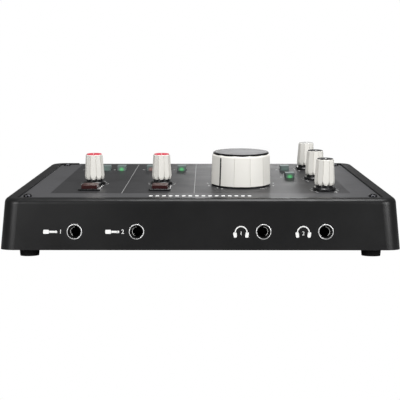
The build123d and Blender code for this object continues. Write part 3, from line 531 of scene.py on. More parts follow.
def ink_block(across, up, place=(0.0, 0.0), turn=0.0, corner=0.0):
    """A flat printed block, its corners rounded, turned about its own middle."""
    clear_selection()
    bpy.ops.mesh.primitive_plane_add(size=1.0, location=(*place, 0.0), rotation=(0.0, 0.0, turn))
    block = new_piece("ink_block")
    block.scale = (across, up, 1.0)
    fix_in_place(block)
    if corner:
        bpy.ops.object.mode_set(mode="EDIT")
        bpy.ops.mesh.select_mode(type="VERT")
        bpy.ops.mesh.select_all(action="SELECT")
        bpy.ops.mesh.bevel(offset=corner, segments=4, affect="VERTICES")
        bpy.ops.object.mode_set(mode="OBJECT")
    return block


def ink_dot(radius, place=(0.0, 0.0), vertices=20):
    """A flat printed dot."""
    clear_selection()
    bpy.ops.mesh.primitive_circle_add(
        vertices=vertices, radius=radius, fill_type="NGON", location=(*place, 0.0)
    )
    return new_piece("ink_dot")


def ink_number(number, height, place=(0.0, 0.0), turn=0.0):
    """A flat printed number, centred on its place."""
    clear_selection()
    bpy.ops.object.text_add(location=(*place, 0.0), rotation=(0.0, 0.0, turn))
    number_text = bpy.context.object
    number_text.data.body = str(number)
    number_text.data.size = height * text_size_per_height
    number_text.data.align_x = "CENTER"
    number_text.data.align_y = "CENTER"
    number_text.data.resolution_u = 3
    bpy.ops.object.convert(target="MESH")
    piece = new_piece("ink_number")
    fix_in_place(piece)
    return piece


def ink_band(radius, width, sweep, steps=28):
    """A flat printed arc, centred on the top of its circle."""
    band = ink_block(width, band_seed)
    bpy.ops.object.mode_set(mode="EDIT")
    pick(band, "EDGE", lambda edge: all(v.co.y > 0.0 for v in edge.verts))
    bpy.ops.mesh.select_all(action="INVERT")
    bpy.ops.mesh.delete(type="EDGE")
    bpy.ops.mesh.select_all(action="SELECT")
    bpy.ops.transform.translate(value=(radius, 0.0, 0.0))
    bpy.ops.mesh.spin(steps=steps, angle=sweep, center=(0.0, 0.0, 0.0), axis=(0.0, 0.0, 1.0))
    bpy.ops.mesh.select_all(action="SELECT")
    bpy.ops.mesh.remove_doubles(threshold=band_merge)
    bpy.ops.object.mode_set(mode="OBJECT")
    angle = math.atan2(
        sum(v.co.y for v in band.data.vertices), sum(v.co.x for v in band.data.vertices)
    )
    band.rotation_euler = (0.0, 0.0, math.radians(90.0) - angle)
    fix_in_place(band)
    return band


def print_ink(name, shapes):
    """Join flat shapes and give the ink its thickness, with the printed side up."""
    ink = join_pieces(name, shapes)
    fix_in_place(ink)
    bpy.ops.object.mode_set(mode="EDIT")
    bpy.ops.mesh.select_all(action="SELECT")
    bpy.ops.mesh.extrude_region_move(TRANSFORM_OT_translate={"value": (0.0, 0.0, ink_thickness)})
    bpy.ops.mesh.select_all(action="SELECT")
    bpy.ops.mesh.normals_make_consistent(inside=False)
    bpy.ops.object.mode_set(mode="OBJECT")
    return ink


def stand_on_wall(ink, height):
    """Turn ink that was drawn flat up against the leaning front wall."""
    ink.rotation_euler = (math.radians(90.0) - wall_lean, 0.0, 0.0)
    ink.location = (0.0, wall_y - ink_lift, height)
    fix_in_place(ink)


plug_from_socket = 14.4 * mm
plug_body, plug_body_left, plug_corner = (3.4 * mm, 2.4 * mm), 2.2 * mm, 0.5 * mm
plug_shank, plug_shank_right = (3.6 * mm, 1.2 * mm), 1.5 * mm
plug_tip_radius, plug_tip_right = 0.75 * mm, 3.6 * mm
plug_number_height, plug_number_right = 2.5 * mm, 6.3 * mm
plug_shapes = []
for number, socket in enumerate(front_sockets[:2], start=1):
    plug_x = socket.x - plug_from_socket
    plug_shapes += [
        ink_block(*plug_body, (plug_x - plug_body_left, 0.0), corner=plug_corner),
        ink_block(*plug_shank, (plug_x + plug_shank_right, 0.0)),
        ink_dot(plug_tip_radius, (plug_x + plug_tip_right, 0.0)),
        ink_number(number, plug_number_height, (plug_x + plug_number_right, 0.0)),
    ]
plug_symbols = print_ink("plug_symbols", plug_shapes)
stand_on_wall(plug_symbols, socket_height)
finish_piece(plug_symbols, "case", "chrome_ring", white_ink)

phones_from_socket = 13.2 * mm
band_radius, band_width, band_sweep = 3.45 * mm, 0.65 * mm, math.radians(190.0)
band_drop = 0.3 * mm
ear_cup, ear_cup_corner, ear_cup_lean = (1.9 * mm, 3.2 * mm), 0.6 * mm, math.radians(8.0)
ear_cup_aside, ear_cup_drop = 3.5 * mm, 1.75 * mm
phones_number_height, phones_number_drop = 2.3 * mm, 1.0 * mm
phones_shapes = []
for number, socket in enumerate(front_sockets[2:], start=1):
    phones_x = socket.x - phones_from_socket
    band = ink_band(band_radius, band_width, band_sweep)
    band.location = (phones_x, -band_drop, 0.0)
    phones_shapes.append(band)
    for side in (-1, 1):
        phones_shapes.append(
            ink_block(
                *ear_cup, (phones_x + side * ear_cup_aside, -ear_cup_drop),
                turn=-side * ear_cup_lean, corner=ear_cup_corner,
            )
        )
    phones_shapes.append(
        ink_number(number, phones_number_height, (phones_x, -phones_number_drop))
    )
phones_symbols = print_ink("phones_symbols", phones_shapes)
stand_on_wall(phones_symbols, socket_height)
finish_piece(phones_symbols, "case", "chrome_ring", white_ink)

# ---------------------------------------------------------------------------
# Top panel: aluminium sheet in satin grey paint over a faint brushed lay, with a
# darker printed field inside its margins. It drops into the rim and is screwed down.
joints = {joint["child"]: joint for joint in frame["joints"]}
press = Vector(joints["tone_1"]["axis"])
tilt = math.atan2(press.y, -press.z)
panel_normal = Vector((0.0, -math.sin(tilt), math.cos(tilt)))
panel_ref = Vector(joints["monitor_knob"]["pos_m"])
field_half_width = 93.0 * mm
field_front = front_y + 26.5 * mm
field_rear = high_corner.y - 4.5 * mm


def on_panel(x, y, lift=0.0):
    """The point of the panel's surface at x and y, raised along its normal."""
    z = panel_ref.z + math.tan(tilt) * (y - panel_ref.y)
    return Vector((x, y, z)) + panel_normal * lift


def seat_on_panel(piece, x, y, lift=0.0):
    """Seat a piece that was drawn upright about the origin square on the panel."""
    piece.rotation_euler = (tilt, 0.0, 0.0)
    piece.location = on_panel(x, y, lift)
    fix_in_place(piece)


def up_slope(y):
    """Distance up the slope of a point of the panel at y."""
    return y / math.cos(tilt)


def build_printed_field():
    """Shader group: a mask that is 1 inside a printed rectangle, with crisp edges."""
    group = bpy.data.node_groups.new("printed_field", "ShaderNodeTree")
    for name in ("Half Width", "Front", "Rear"):
        add_socket(group, name, "NodeSocketFloat", True, 0.1)
    add_socket(group, "Mask", "NodeSocketFloat", False)
    nodes, links = group.nodes, group.links
    incoming = nodes.new("NodeGroupInput")
    outgoing = nodes.new("NodeGroupOutput")
    place = nodes.new("ShaderNodeTexCoord")
    split = nodes.new("ShaderNodeSeparateXYZ")
    links.new(place.outputs["Object"], split.inputs["Vector"])
    side = nodes.new("ShaderNodeMath")
    side.operation = "ABSOLUTE"
    links.new(split.outputs["X"], side.inputs[0])
    tests = []
    for operation, value, limit in (
        ("LESS_THAN", side.outputs["Value"], "Half Width"),
        ("GREATER_THAN", split.outputs["Y"], "Front"),
        ("LESS_THAN", split.outputs["Y"], "Rear"),
    ):
        test = nodes.new("ShaderNodeMath")
        test.operation = operation
        links.new(value, test.inputs[0])
        links.new(incoming.outputs[limit], test.inputs[1])
        tests.append(test)
    both = nodes.new("ShaderNodeMath")
    both.operation = "MULTIPLY"
    links.new(tests[0].outputs["Value"], both.inputs[0])
    links.new(tests[1].outputs["Value"], both.inputs[1])
    all_three = nodes.new("ShaderNodeMath")
    all_three.operation = "MULTIPLY"
    links.new(both.outputs["Value"], all_three.inputs[0])
    links.new(tests[2].outputs["Value"], all_three.inputs[1])
    links.new(all_three.outputs["Value"], outgoing.inputs["Mask"])
    return group


def build_brushed_lay():
    """Shader group: long fine scratches along X, as a height."""
    group = bpy.data.node_groups.new("brushed_lay", "ShaderNodeTree")
    add_socket(group, "Height", "NodeSocketFloat", False)
    nodes, links = group.nodes, group.links
    outgoing = nodes.new("NodeGroupOutput")
    place = nodes.new("ShaderNodeTexCoord")
    stretch = nodes.new("ShaderNodeMapping")
    stretch.inputs["Scale"].default_value = (30.0, 1500.0, 1500.0)
    lay = nodes.new("ShaderNodeTexNoise")
    lay.inputs["Scale"].default_value = 1.0
    lay.inputs["Detail"].default_value = 3.0
    links.new(place.outputs["Object"], stretch.inputs["Vector"])
    links.new(stretch.outputs["Vector"], lay.inputs["Vector"])
    links.new(lay.outputs["Fac"], outgoing.inputs["Height"])
    return group


def panel_finish(name, margin_colour, field_colour, roughness, specular):
    """Two tones of satin paint over the brushed lay."""
    material = grained(
        name, margin_colour, roughness, 1800.0, 0.000004, tone_drift=0.12, Specular_IOR_Level=specular
    )
    nodes, links = material.node_tree.nodes, material.node_tree.links
    shader = nodes["Principled BSDF"]
    field = nodes.new("ShaderNodeGroup")
    field.node_tree = build_printed_field()
    field.inputs["Half Width"].default_value = field_half_width
    field.inputs["Front"].default_value = field_front
    field.inputs["Rear"].default_value = field_rear
    shade = nodes.new("ShaderNodeMapRange")
    shade.inputs["To Min"].default_value = 1.0
    shade.inputs["To Max"].default_value = field_colour[0] / margin_colour[0]
    links.new(field.outputs["Mask"], shade.inputs["Value"])
    toned = nodes.new("ShaderNodeVectorMath")
    toned.operation = "SCALE"
    links.new(nodes["grain"].outputs["Colour"], toned.inputs[0])
    links.new(shade.outputs["Result"], toned.inputs["Scale"])
    links.new(toned.outputs["Vector"], shader.inputs["Base Color"])
    lay = nodes.new("ShaderNodeGroup")
    lay.node_tree = build_brushed_lay()
    nodes["grain_bump"].inputs["Distance"].default_value = 0.000012
    links.new(lay.outputs["Height"], nodes["grain_bump"].inputs["Height"])
    return material


panel_paint = panel_finish("panel_paint", (0.066, 0.066, 0.069), (0.030, 0.030, 0.032), 0.42, 0.16)
dress(panel_paint, "panel_paint", "top_panel")

# ---------------------------------------------------------------------------
# Panel print: pale rules between the channels, ticks and numbers round each small
# knob, dots round the monitor knob, dashes by the buttons and along the front margin.
print_lift = 0.01 * mm
rule_width = 0.35 * mm
rule_places = (-48.7 * mm, -3.8 * mm)
tick_count = 11
tick_sweep = 270.0
scale_degrees = [tick_sweep * (step / (tick_count - 1) - 0.5) for step in range(tick_count)]
tick_width, short_tick, long_tick = 0.32 * mm, 1.2 * mm, 1.7 * mm
tick_start = 8.1 * mm
knob_number_radius, knob_number_degrees, knob_number_height = 10.6 * mm, 148.0, 1.7 * mm
monitor_dot_radius, monitor_dot_size = 22.2 * mm, 0.5 * mm
monitor_number_radius, monitor_number_degrees, monitor_number_height = 23.0 * mm, 146.0, 2.2 * mm
key_dash, key_dash_left = (1.5 * mm, 0.6 * mm), 5.7 * mm
margin_dash, margin_dash_corner = (2.2 * mm, 3.0 * mm), 0.4 * mm
margin_dash_y = front_y + 17.5 * mm
margin_dash_count = 16
margin_dash_first, margin_dash_last = -30.0 * mm, 30.0 * mm
small_knobs = ("gain_1", "gain_2", "phones_b", "phones_a", "monitor_mix")
knob_places = {knob: tuple(joints[f"{knob}_knob"]["pos_m"][:2]) for knob in small_knobs}
monitor_x, monitor_y = panel_ref.x, panel_ref.y

rule_shapes = [
    ink_block(
        rule_width, up_slope(field_rear - field_front), (x, up_slope((field_front + field_rear) / 2))
    )
    for x in rule_places
]
rule_ink = grained("rule_ink", (0.30, 0.30, 0.30), 0.5, 3000.0, 0.000003, tone_drift=0.1)
channel_rules = print_ink("channel_rules", rule_shapes)
seat_on_panel(channel_rules, 0.0, 0.0, print_lift)
finish_piece(channel_rules, "case", "panel_paint", rule_ink)


def swept(centre, radius, degrees):
    """A place on a circle, by its angle clockwise from the rear."""
    turn = math.radians(degrees)
    return (centre[0] + radius * math.sin(turn), centre[1] + radius * math.cos(turn))


def scale_ends(centre, radius, degrees, height):
    """The numbers at the two ends of a knob's scale."""
    return [
        ink_number(0, height, swept(centre, radius, -degrees)),
        ink_number(10, height, swept(centre, radius, degrees)),
    ]


def button_box(key):
    """The lowest and highest corners of a button's cap."""
    return [Vector(corner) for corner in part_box(f"{key}_button")]


mark_shapes = []
for x, y in knob_places.values():
    centre = (x, up_slope(y))
    for step, degrees in enumerate(scale_degrees):
        length = long_tick if step in (0, tick_count // 2, tick_count - 1) else short_tick
        mark_shapes.append(
            ink_block(
                tick_width, length, swept(centre, tick_start + length / 2, degrees),
                turn=-math.radians(degrees),
            )
        )
    mark_shapes += scale_ends(centre, knob_number_radius, knob_number_degrees, knob_number_height)
monitor_centre = (monitor_x, up_slope(monitor_y))
for degrees in scale_degrees:
    mark_shapes.append(
        ink_dot(monitor_dot_size, swept(monitor_centre, monitor_dot_radius, degrees))
    )
mark_shapes += scale_ends(
    monitor_centre, monitor_number_radius, monitor_number_degrees, monitor_number_height
)
key_names = [
    body for body in frame["bodies"] if body.startswith(("power", "line", "high", "mono", "source"))
]
for key in key_names:
    low, high = button_box(key)
    dash_place = ((low.x + high.x) / 2 - key_dash_left, up_slope((low.y + high.y) / 2))
    mark_shapes.append(ink_block(*key_dash, dash_place))
margin_dash_span = margin_dash_last - margin_dash_first
for step in range(margin_dash_count):
    dash_place = (
        margin_dash_first + margin_dash_span * step / (margin_dash_count - 1),
        up_slope(margin_dash_y),
    )
    mark_shapes.append(ink_block(*margin_dash, dash_place, corner=margin_dash_corner))
panel_marks = print_ink("panel_marks", mark_shapes)
seat_on_panel(panel_marks, 0.0, 0.0, print_lift)
finish_piece(panel_marks, "case", "panel_paint", white_ink)

# ---------------------------------------------------------------------------
# Rear print: the number of each microphone input, line output and MIDI socket,
# in white ink above it on the rear panel.
rear_number_height = 2.6 * mm
number_over_combo, number_over_jack = 14.6 * mm, 11.0 * mm
rear_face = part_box("rear_panel")[1][1]
rear_shapes = []
for name, mount in record_mounts.items():
    if name.startswith(("microphone", "line_output", "midi")):
        rise = number_over_combo if name.startswith("microphone") else number_over_jack
        number_place = (-mount["pos_m"][0], mount["pos_m"][2] + rise)
        rear_shapes.append(ink_number(name[-1], rear_number_height, number_place))
rear_marks = print_ink("rear_marks", rear_shapes)
rear_marks.rotation_euler = (math.radians(90.0), 0.0, math.radians(180.0))
rear_marks.location = (0.0, rear_face + print_lift, 0.0)
fix_in_place(rear_marks)
finish_piece(rear_marks, "case", "rear_paint", white_ink)

# ---------------------------------------------------------------------------
# Bezels round the two wide buttons: frames moulded in polished black plastic and
# pressed into the panel's openings.
bezel_gloss = grained(
    "bezel_gloss", (0.008, 0.008, 0.009), 0.14, 800.0, 0.000004, Specular_IOR_Level=0.5
)
dress(bezel_gloss, "bezel_plastic", "button_bezels")

# ---------------------------------------------------------------------------
# Wide buttons: caps moulded in dark red translucent plastic, each clipped on the
# stem of its switch so that it springs up inside its bezel.
lens_red_tint = (0.030, 0.006, 0.006)
# The faint red glow from the middle of each cap's top is a painted sheen, not lamp light.
painted_sheen_red = (0.25, 0.03, 0.02)
sheen_glow_drop = 2.0 * mm


def build_lamp_glow():
    """Shader group: a soft glow inside a button, as a mask that fades from its middle."""
    group = bpy.data.node_groups.new("glow_falloff", "ShaderNodeTree")
    add_socket(group, "Centre", "NodeSocketVector", True)
    add_socket(group, "Reach", "NodeSocketFloat", True, 0.003)
    add_socket(group, "Mask", "NodeSocketFloat", False)
    nodes, links = group.nodes, group.links
    incoming = nodes.new("NodeGroupInput")
    outgoing = nodes.new("NodeGroupOutput")
    place = nodes.new("ShaderNodeTexCoord")
    away = nodes.new("ShaderNodeVectorMath")
    away.operation = "DISTANCE"
    links.new(place.outputs["Object"], away.inputs[0])
    links.new(incoming.outputs["Centre"], away.inputs[1])
    fade = nodes.new("ShaderNodeMapRange")
    fade.interpolation_type = "SMOOTHSTEP"
    fade.inputs["To Min"].default_value = 1.0
    fade.inputs["To Max"].default_value = 0.0
    links.new(away.outputs["Value"], fade.inputs["Value"])
    links.new(incoming.outputs["Reach"], fade.inputs["From Max"])
    links.new(fade.outputs["Result"], outgoing.inputs["Mask"])
    return group


glow_falloff = build_lamp_glow()


def glowing(name, colour, glow_colour, centre, reach, strength, roughness=0.48):
    """Translucent plastic that glows, brightest at its centre. In lit keys the glow is the lamp inside;
    elsewhere it is painted glow.
    """
    material = grained(name, colour, roughness, 900.0, 0.000008, tone_drift=0.2)
    nodes, links = material.node_tree.nodes, material.node_tree.links
    shader = nodes["Principled BSDF"]
    glow_source = nodes.new("ShaderNodeGroup")
    glow_source.node_tree = glow_falloff
    glow_source.inputs["Centre"].default_value = centre
    glow_source.inputs["Reach"].default_value = reach
    # A Mix node's colours go in at 6 and 7, and come out at 2.
    tinted = nodes.new("ShaderNodeMix")
    tinted.data_type = "RGBA"
    tinted.inputs[6].default_value = (0.0, 0.0, 0.0, 1.0)
    tinted.inputs[7].default_value = (*glow_colour, 1.0)
    links.new(glow_source.outputs["Mask"], tinted.inputs["Factor"])
    links.new(tinted.outputs[2], shader.inputs["Emission Color"])
    shader.inputs["Emission Strength"].default_value = strength
    shader.inputs["Specular IOR Level"].default_value = 0.3
    return material


for key in ("tone_1", "tone_2"):
    low, high = button_box(key)
    middle = (low + high) / 2
    # Each cap gets a painted sheen: a faint red glow centred just under its top.
    lens_red = glowing(
        f"lens_red_{key[-1]}", lens_red_tint, painted_sheen_red,
        (middle.x, middle.y, high.z - sheen_glow_drop),
        reach=6.0 * mm, strength=0.10, roughness=0.34,
    )
    dress(lens_red, "key_red", f"{key}_button")

# ---------------------------------------------------------------------------
# Small buttons: square grey-green translucent caps. Some have their green lamp on, and one its red
# lamp; the lamp sits low in the cap, behind its front face. The unlit caps glow faintly green in the
# same place, a painted glow.
cap_tint = (0.13, 0.165, 0.16)
glow_behind_front, glow_over_panel = 1.6 * mm, 0.9 * mm
lit_slots = {
    "high_pass_1": "key_lit", "high_pass_2": "key_lit", "source_select": "key_lit",
    "power_48v_2": "key_amber",
}
# For each slot, the glow's colour, reach and strength. The key_clear glow, in caps whose lamp is off,
# is painted glow.
slot_glows = {
    "key_lit": ((0.02, 0.75, 0.12), 2.9 * mm, 0.9),
    "key_amber": ((0.55, 0.06, 0.05), 3.2 * mm, 0.4),
    "key_clear": ((0.02, 0.12, 0.07), 3.4 * mm, 0.35),
}
for key in key_names:
    low, high = button_box(key)
    middle = (low + high) / 2
    glow_place = (
        middle.x, low.y + glow_behind_front, on_panel(middle.x, low.y).z + glow_over_panel
    )
    slot_name = lit_slots.get(key, "key_clear")
    glow_colour, reach, strength = slot_glows[slot_name]
    # Caps whose lamp is off take the key_clear glow, a painted glow.
    lens = glowing(f"lens_{key}", cap_tint, glow_colour, glow_place, reach, strength)
    dress(lens, slot_name, f"{key}_button")

# ---------------------------------------------------------------------------
# Small knobs: a black hub on the control's turned shaft, a cream sleeve fluted
# into ten facets with a petal at the foot of each, and a coloured snap-in cap
# with a white pointer printed on it.
sleeve_facets = 10
sleeve_foot, sleeve_top = 3.6 * mm, 19.5 * mm
sleeve_bottom_radius, sleeve_top_radius = 6.65 * mm, 5.55 * mm
petal_radius, petal_height = 6.05 * mm, 3.3 * mm
gap_radius, gap_height, gap_centre = 1.3 * mm, 2.7 * mm, 6.2 * mm
skirt_inside, skirt_height = 5.2 * mm, 2.4 * mm
rim_width, rim_rise, rim_flat = 0.4 * mm, 0.25 * mm, 0.35 * mm
well_wall, well_depth = 0.02 * mm, 1.0 * mm
groove_width, groove_inset, groove_depth = 0.18 * mm, 0.03 * mm, 0.3 * mm
narrow_strip, long_strip = 1.0 * mm, 10.0 * mm
cutter_overlap = 0.2 * mm
petal_cutter_heights, petal_cutter_rise = 4.0, 12.0 * mm
petal_cutter_drop = 0.01 * mm
pointer_width, pointer_length = 0.6 * mm, 3.6 * mm
pointer_from_axis, pointer_lift = 2.7 * mm, 20.27 * mm


def is_groove_strip(face):
    """Whether a face is the narrow strip that a bevel leaves along an upright edge."""
    edges = [edge.calc_length() for edge in face.edges]
    upright = abs(face.normal.z) < 0.2
    return upright and min(edges) < narrow_strip and max(edges) > long_strip


clear_selection()
bpy.ops.mesh.primitive_cone_add(
    vertices=sleeve_facets, radius1=sleeve_bottom_radius, radius2=sleeve_top_radius,
    depth=sleeve_top - sleeve_foot, location=(0.0, 0.0, (sleeve_top + sleeve_foot) / 2),
    rotation=(0.0, 0.0, math.radians(180.0 / sleeve_facets)),
)
sleeve = new_piece("sleeve_pattern")
fix_in_place(sleeve)
bpy.ops.object.mode_set(mode="EDIT")
pick(sleeve, "EDGE", lambda edge: abs(edge.verts[0].co.z - edge.verts[1].co.z) > long_strip)
bpy.ops.mesh.bevel(offset=groove_width, segments=1, affect="EDGES")
pick(sleeve, "FACE", is_groove_strip)
bpy.ops.mesh.inset(thickness=groove_inset, depth=-groove_depth)
pick(sleeve, "FACE", lambda face: face.normal.z > 0.9)
bpy.ops.mesh.inset(thickness=rim_width, depth=rim_rise)
bpy.ops.mesh.inset(thickness=rim_flat, depth=0.0)
bpy.ops.mesh.inset(thickness=well_wall, depth=-well_depth)
bpy.ops.object.mode_set(mode="OBJECT")
clear_selection()
petal_cutter_height = petal_height * petal_cutter_heights
bpy.ops.mesh.primitive_cone_add(
    vertices=80, radius1=petal_radius,
    radius2=petal_radius + (sleeve_bottom_radius - petal_radius) * petal_cutter_heights,
    depth=petal_cutter_height,
    location=(0.0, 0.0, sleeve_foot + petal_cutter_height / 2 - petal_cutter_drop),
)
petal_cutter = new_piece("petal_cutter")
fix_in_place(petal_cutter)
bpy.ops.object.mode_set(mode="EDIT")
pick(petal_cutter, "FACE", lambda face: face.normal.z > 0.9)
bpy.ops.mesh.extrude_region_move(TRANSFORM_OT_translate={"value": (0.0, 0.0, petal_cutter_rise)})
bpy.ops.object.mode_set(mode="OBJECT")
cut_with(sleeve, petal_cutter, "INTERSECT")
gap_cutters = []
for step in range(sleeve_facets):
    turn = 2.0 * math.pi * step / sleeve_facets
    clear_selection()
    gap_z = sleeve_foot + gap_height / 2 - cutter_overlap / 2
    bpy.ops.mesh.primitive_cone_add(
        vertices=20, radius1=gap_radius, radius2=0.0, depth=gap_height + cutter_overlap,
        location=(gap_centre * math.cos(turn), gap_centre * math.sin(turn), gap_z),
    )
    gap_cutters.append(new_piece("petal_gap"))
gap_cutter = join_pieces("petal_gaps", gap_cutters)
fix_in_place(gap_cutter)
cut_with(sleeve, gap_cutter)
clear_selection()
bpy.ops.mesh.primitive_cylinder_add(
    vertices=60, radius=skirt_inside, depth=skirt_height + 2 * cutter_overlap,
    location=(0.0, 0.0, sleeve_foot + skirt_height / 2 - cutter_overlap),
)
skirt_cutter = new_piece("skirt_cutter")
fix_in_place(skirt_cutter)
cut_with(sleeve, skirt_cutter)

hub_black = grained("hub_black", (0.009, 0.009, 0.010), 0.24, 1500.0, 0.00001)
turned_shaft = grained("turned_shaft", (0.5, 0.5, 0.5), 0.3, 1500.0, 0.00001, Metallic=1.0)
knob_cream = grained("knob_cream", (0.76, 0.745, 0.70), 0.38, 2200.0, 0.000008, tone_drift=0.06)
cap_finishes = {
    "gain_1": ("cap_red", (0.52, 0.035, 0.062)),
    "gain_2": ("cap_red", (0.52, 0.035, 0.062)),
    "phones_b": ("cap_black", (0.014, 0.014, 0.015)),
    "phones_a": ("cap_black", (0.014, 0.014, 0.015)),
    "monitor_mix": ("cap_grey", (0.40, 0.40, 0.39)),
}
cap_plastics = {
    slot: grained(slot, colour, 0.5, 2200.0, 0.00001, Specular_IOR_Level=0.3)
    for slot, colour in cap_finishes.values()
}
for knob in small_knobs:
    x, y = knob_places[knob]
    knob_sleeve = sleeve.copy()
    knob_sleeve.data = sleeve.data.copy()
    scene.collection.objects.link(knob_sleeve)
    knob_sleeve.name = f"{knob}_fluted_sleeve"
    seat_on_panel(knob_sleeve, x, y)
    finish_piece(
        knob_sleeve, f"{knob}_knob", "knob_cream", knob_cream, f"{knob}_sleeve", smooth_angle=8.0
    )
    cap_slot = cap_finishes[knob][0]
    dress(cap_plastics[cap_slot], cap_slot, f"{knob}_cap")
    pointer_line = ink_block(pointer_width, pointer_length, (0.0, -pointer_from_axis))
    pointer = print_ink(f"{knob}_pointer", [pointer_line])
    seat_on_panel(pointer, x, y, pointer_lift)
    finish_piece(pointer, f"{knob}_knob", "knob_cream", white_ink)
dress(hub_black, "hub_black", *[f"{knob}_hub" for knob in (*small_knobs, "monitor")])
dress(turned_shaft, "shaft_metal", *[f"{knob}_shaft" for knob in (*small_knobs, "monitor")])
bpy.data.objects.remove(sleeve, do_unlink=True)

# ---------------------------------------------------------------------------
# Monitor knob: a cream body moulded with twelve broad facets and a fine groove
# between each two, a rounded upper edge, and a black line inlaid down one groove.
monitor_facets = 12
monitor_foot, monitor_top = 1.1 * mm, 21.0 * mm
monitor_bottom_radius, monitor_top_radius = 19.9 * mm, 19.1 * mm
monitor_round = 1.9 * mm
dish_radius, dish_depth, dish_cutter_depth = 18.25 * mm, 1.25 * mm, 4.0 * mm
top_ring = monitor_top - 0.5 * mm
outer_ring_radius = 15.0 * mm
level_rise = 1.0 * mm
mark_width, mark_thickness, mark_round = 1.05 * mm, 0.5 * mm, 0.12 * mm
mark_turn = math.radians(-45.0)

clear_selection()
bpy.ops.mesh.primitive_cylinder_add(
    vertices=monitor_facets, radius=monitor_bottom_radius, depth=monitor_top - monitor_foot,
    location=(0.0, 0.0, (monitor_top + monitor_foot) / 2),
    rotation=(0.0, 0.0, math.radians(180.0 / monitor_facets)),
)
monitor_shell = new_piece("monitor_facets")
fix_in_place(monitor_shell)
bpy.ops.object.mode_set(mode="EDIT")
pick(monitor_shell, "EDGE", lambda edge: abs(edge.verts[0].co.z - edge.verts[1].co.z) < level_rise)
bpy.ops.mesh.subdivide(number_cuts=7)
bpy.ops.object.mode_set(mode="OBJECT")
rounded = monitor_shell.modifiers.new("bulge", "CAST")
rounded.cast_type = "CYLINDER"
rounded.factor = 0.5
rounded.use_z = False
rounded.use_radius_as_size = False
rounded.size = monitor_bottom_radius
bpy.ops.object.modifier_apply(modifier="bulge")


def on_facet_corner(vertex):
    """Whether a vertex lies on the line between two facets."""
    step = 360.0 / monitor_facets
    turn = math.degrees(math.atan2(vertex.co.y, vertex.co.x)) % step
    return abs(turn - step / 2) < 1.0


bpy.ops.object.mode_set(mode="EDIT")
pick(monitor_shell, "VERT", lambda v: v.co.z > top_ring)
draft = monitor_top_radius / monitor_bottom_radius
bpy.ops.transform.resize(value=(draft, draft, 1.0), center_override=(0.0, 0.0, monitor_top))
pick(
    monitor_shell, "EDGE",
    lambda edge: all(v.co.z > top_ring and v.co.xy.length > outer_ring_radius for v in edge.verts),
)
bpy.ops.mesh.bevel(offset=monitor_round, segments=6, profile=0.5, affect="EDGES")
pick(
    monitor_shell, "EDGE",
    lambda edge: abs(edge.verts[0].co.z - edge.verts[1].co.z) > long_strip
    and all(on_facet_corner(v) for v in edge.verts),
)
bpy.ops.mesh.bevel(offset=groove_width, segments=1, affect="EDGES")
pick(monitor_shell, "FACE", is_groove_strip)
bpy.ops.mesh.inset(thickness=groove_inset, depth=-groove_depth)
bpy.ops.object.mode_set(mode="OBJECT")
clear_selection()
bpy.ops.mesh.primitive_cylinder_add(
    vertices=96, radius=dish_radius, depth=dish_cutter_depth,
    location=(0.0, 0.0, monitor_top - dish_depth + dish_cutter_depth / 2),
)
dish_cutter = new_piece("dish_cutter")
fix_in_place(dish_cutter)
cut_with(monitor_shell, dish_cutter)
seat_on_panel(monitor_shell, monitor_x, monitor_y)
finish_piece(
    monitor_shell, "monitor_knob", "knob_cream", knob_cream, "monitor_body", smooth_angle=10.0
)

mark_height = monitor_top - monitor_round - monitor_foot
mark_middle = monitor_foot + mark_height / 2
mark_radius = (monitor_bottom_radius + monitor_top_radius) / 2
mark_draft = (monitor_bottom_radius - monitor_top_radius) / 2
clear_selection()
bpy.ops.mesh.primitive_cube_add(size=1.0, location=(0.0, -mark_radius, mark_middle))
monitor_mark = new_piece("monitor_mark")
monitor_mark.scale = (mark_width, mark_thickness, mark_height)
fix_in_place(monitor_mark)
bpy.ops.object.mode_set(mode="EDIT")
pick(monitor_mark, "VERT", lambda v: v.co.z > mark_middle)
bpy.ops.transform.translate(value=(0.0, mark_draft, 0.0))
pick(monitor_mark, "VERT", lambda v: v.co.z < mark_middle)
bpy.ops.transform.translate(value=(0.0, -mark_draft, 0.0))
bpy.ops.mesh.select_mode(type="EDGE")
bpy.ops.mesh.select_all(action="SELECT")
bpy.ops.mesh.bevel(offset=mark_round, segments=2, affect="EDGES")
bpy.ops.object.mode_set(mode="OBJECT")
monitor_mark.rotation_euler = (0.0, 0.0, mark_turn)
fix_in_place(monitor_mark)
seat_on_panel(monitor_mark, monitor_x, monitor_y)
mark_black = grained("mark_black", (0.012, 0.012, 0.013), 0.35, 1500.0, 0.00001)
finish_piece(monitor_mark, "monitor_knob", "hub_black", mark_black)

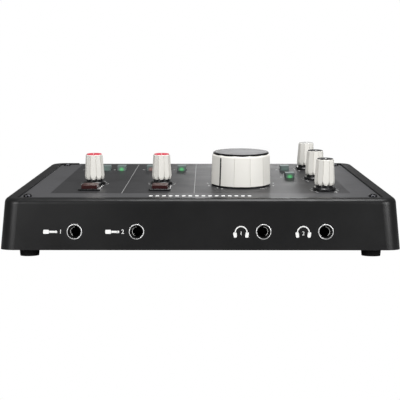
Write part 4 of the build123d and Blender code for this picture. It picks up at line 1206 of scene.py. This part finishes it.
# ---------------------------------------------------------------------------
# Monitor disc: aluminium, spun so that low rings run round it, anodised dark,
# pressed into the knob's dish with its black edge standing just clear.
disc_lift = 21.7 * mm
metal_radius, black_edge_radius = 17.0 * mm, 17.2 * mm
black_edge_tone = 0.06
ring_step = 0.35 * mm
wave_radians_per_unit = 20.0


def spun_finish(name, colour, roughness, centre):
    """Anodised metal with turned rings, 2 pi ring steps apart, round a centre."""
    material = grained(name, colour, roughness, 2000.0, 0.000004, Metallic=1.0)
    nodes, links = material.node_tree.nodes, material.node_tree.links
    shader = nodes["Principled BSDF"]
    place = nodes.new("ShaderNodeTexCoord")
    level = nodes.new("ShaderNodeMapping")
    level.vector_type = "TEXTURE"
    level.inputs["Location"].default_value = centre
    level.inputs["Rotation"].default_value = (tilt, 0.0, 0.0)
    rings = nodes.new("ShaderNodeTexWave")
    rings.wave_type = "RINGS"
    rings.rings_direction = "Z"
    rings.inputs["Scale"].default_value = 1.0 / (ring_step * wave_radians_per_unit)
    rings.inputs["Distortion"].default_value = 0.0
    links.new(place.outputs["Object"], level.inputs["Vector"])
    links.new(level.outputs["Vector"], rings.inputs["Vector"])
    nodes["grain_bump"].inputs["Distance"].default_value = ring_step * 0.10
    links.new(rings.outputs["Fac"], nodes["grain_bump"].inputs["Height"])
    reach = nodes.new("ShaderNodeVectorMath")
    reach.operation = "LENGTH"
    links.new(level.outputs["Vector"], reach.inputs[0])
    edge = nodes.new("ShaderNodeMapRange")
    edge.inputs["From Min"].default_value = metal_radius
    edge.inputs["From Max"].default_value = black_edge_radius
    edge.inputs["To Min"].default_value = 1.0
    edge.inputs["To Max"].default_value = black_edge_tone
    links.new(reach.outputs["Value"], edge.inputs["Value"])
    toned = nodes.new("ShaderNodeVectorMath")
    toned.operation = "SCALE"
    links.new(nodes["grain"].outputs["Colour"], toned.inputs[0])
    links.new(edge.outputs["Result"], toned.inputs["Scale"])
    links.new(toned.outputs["Vector"], shader.inputs["Base Color"])
    return material


disc_centre = on_panel(monitor_x, monitor_y, disc_lift)
spun_disc = spun_finish("spun_disc", (0.17, 0.17, 0.175), 0.42, disc_centre)
dress(spun_disc, "disc_metal", "monitor_disc")
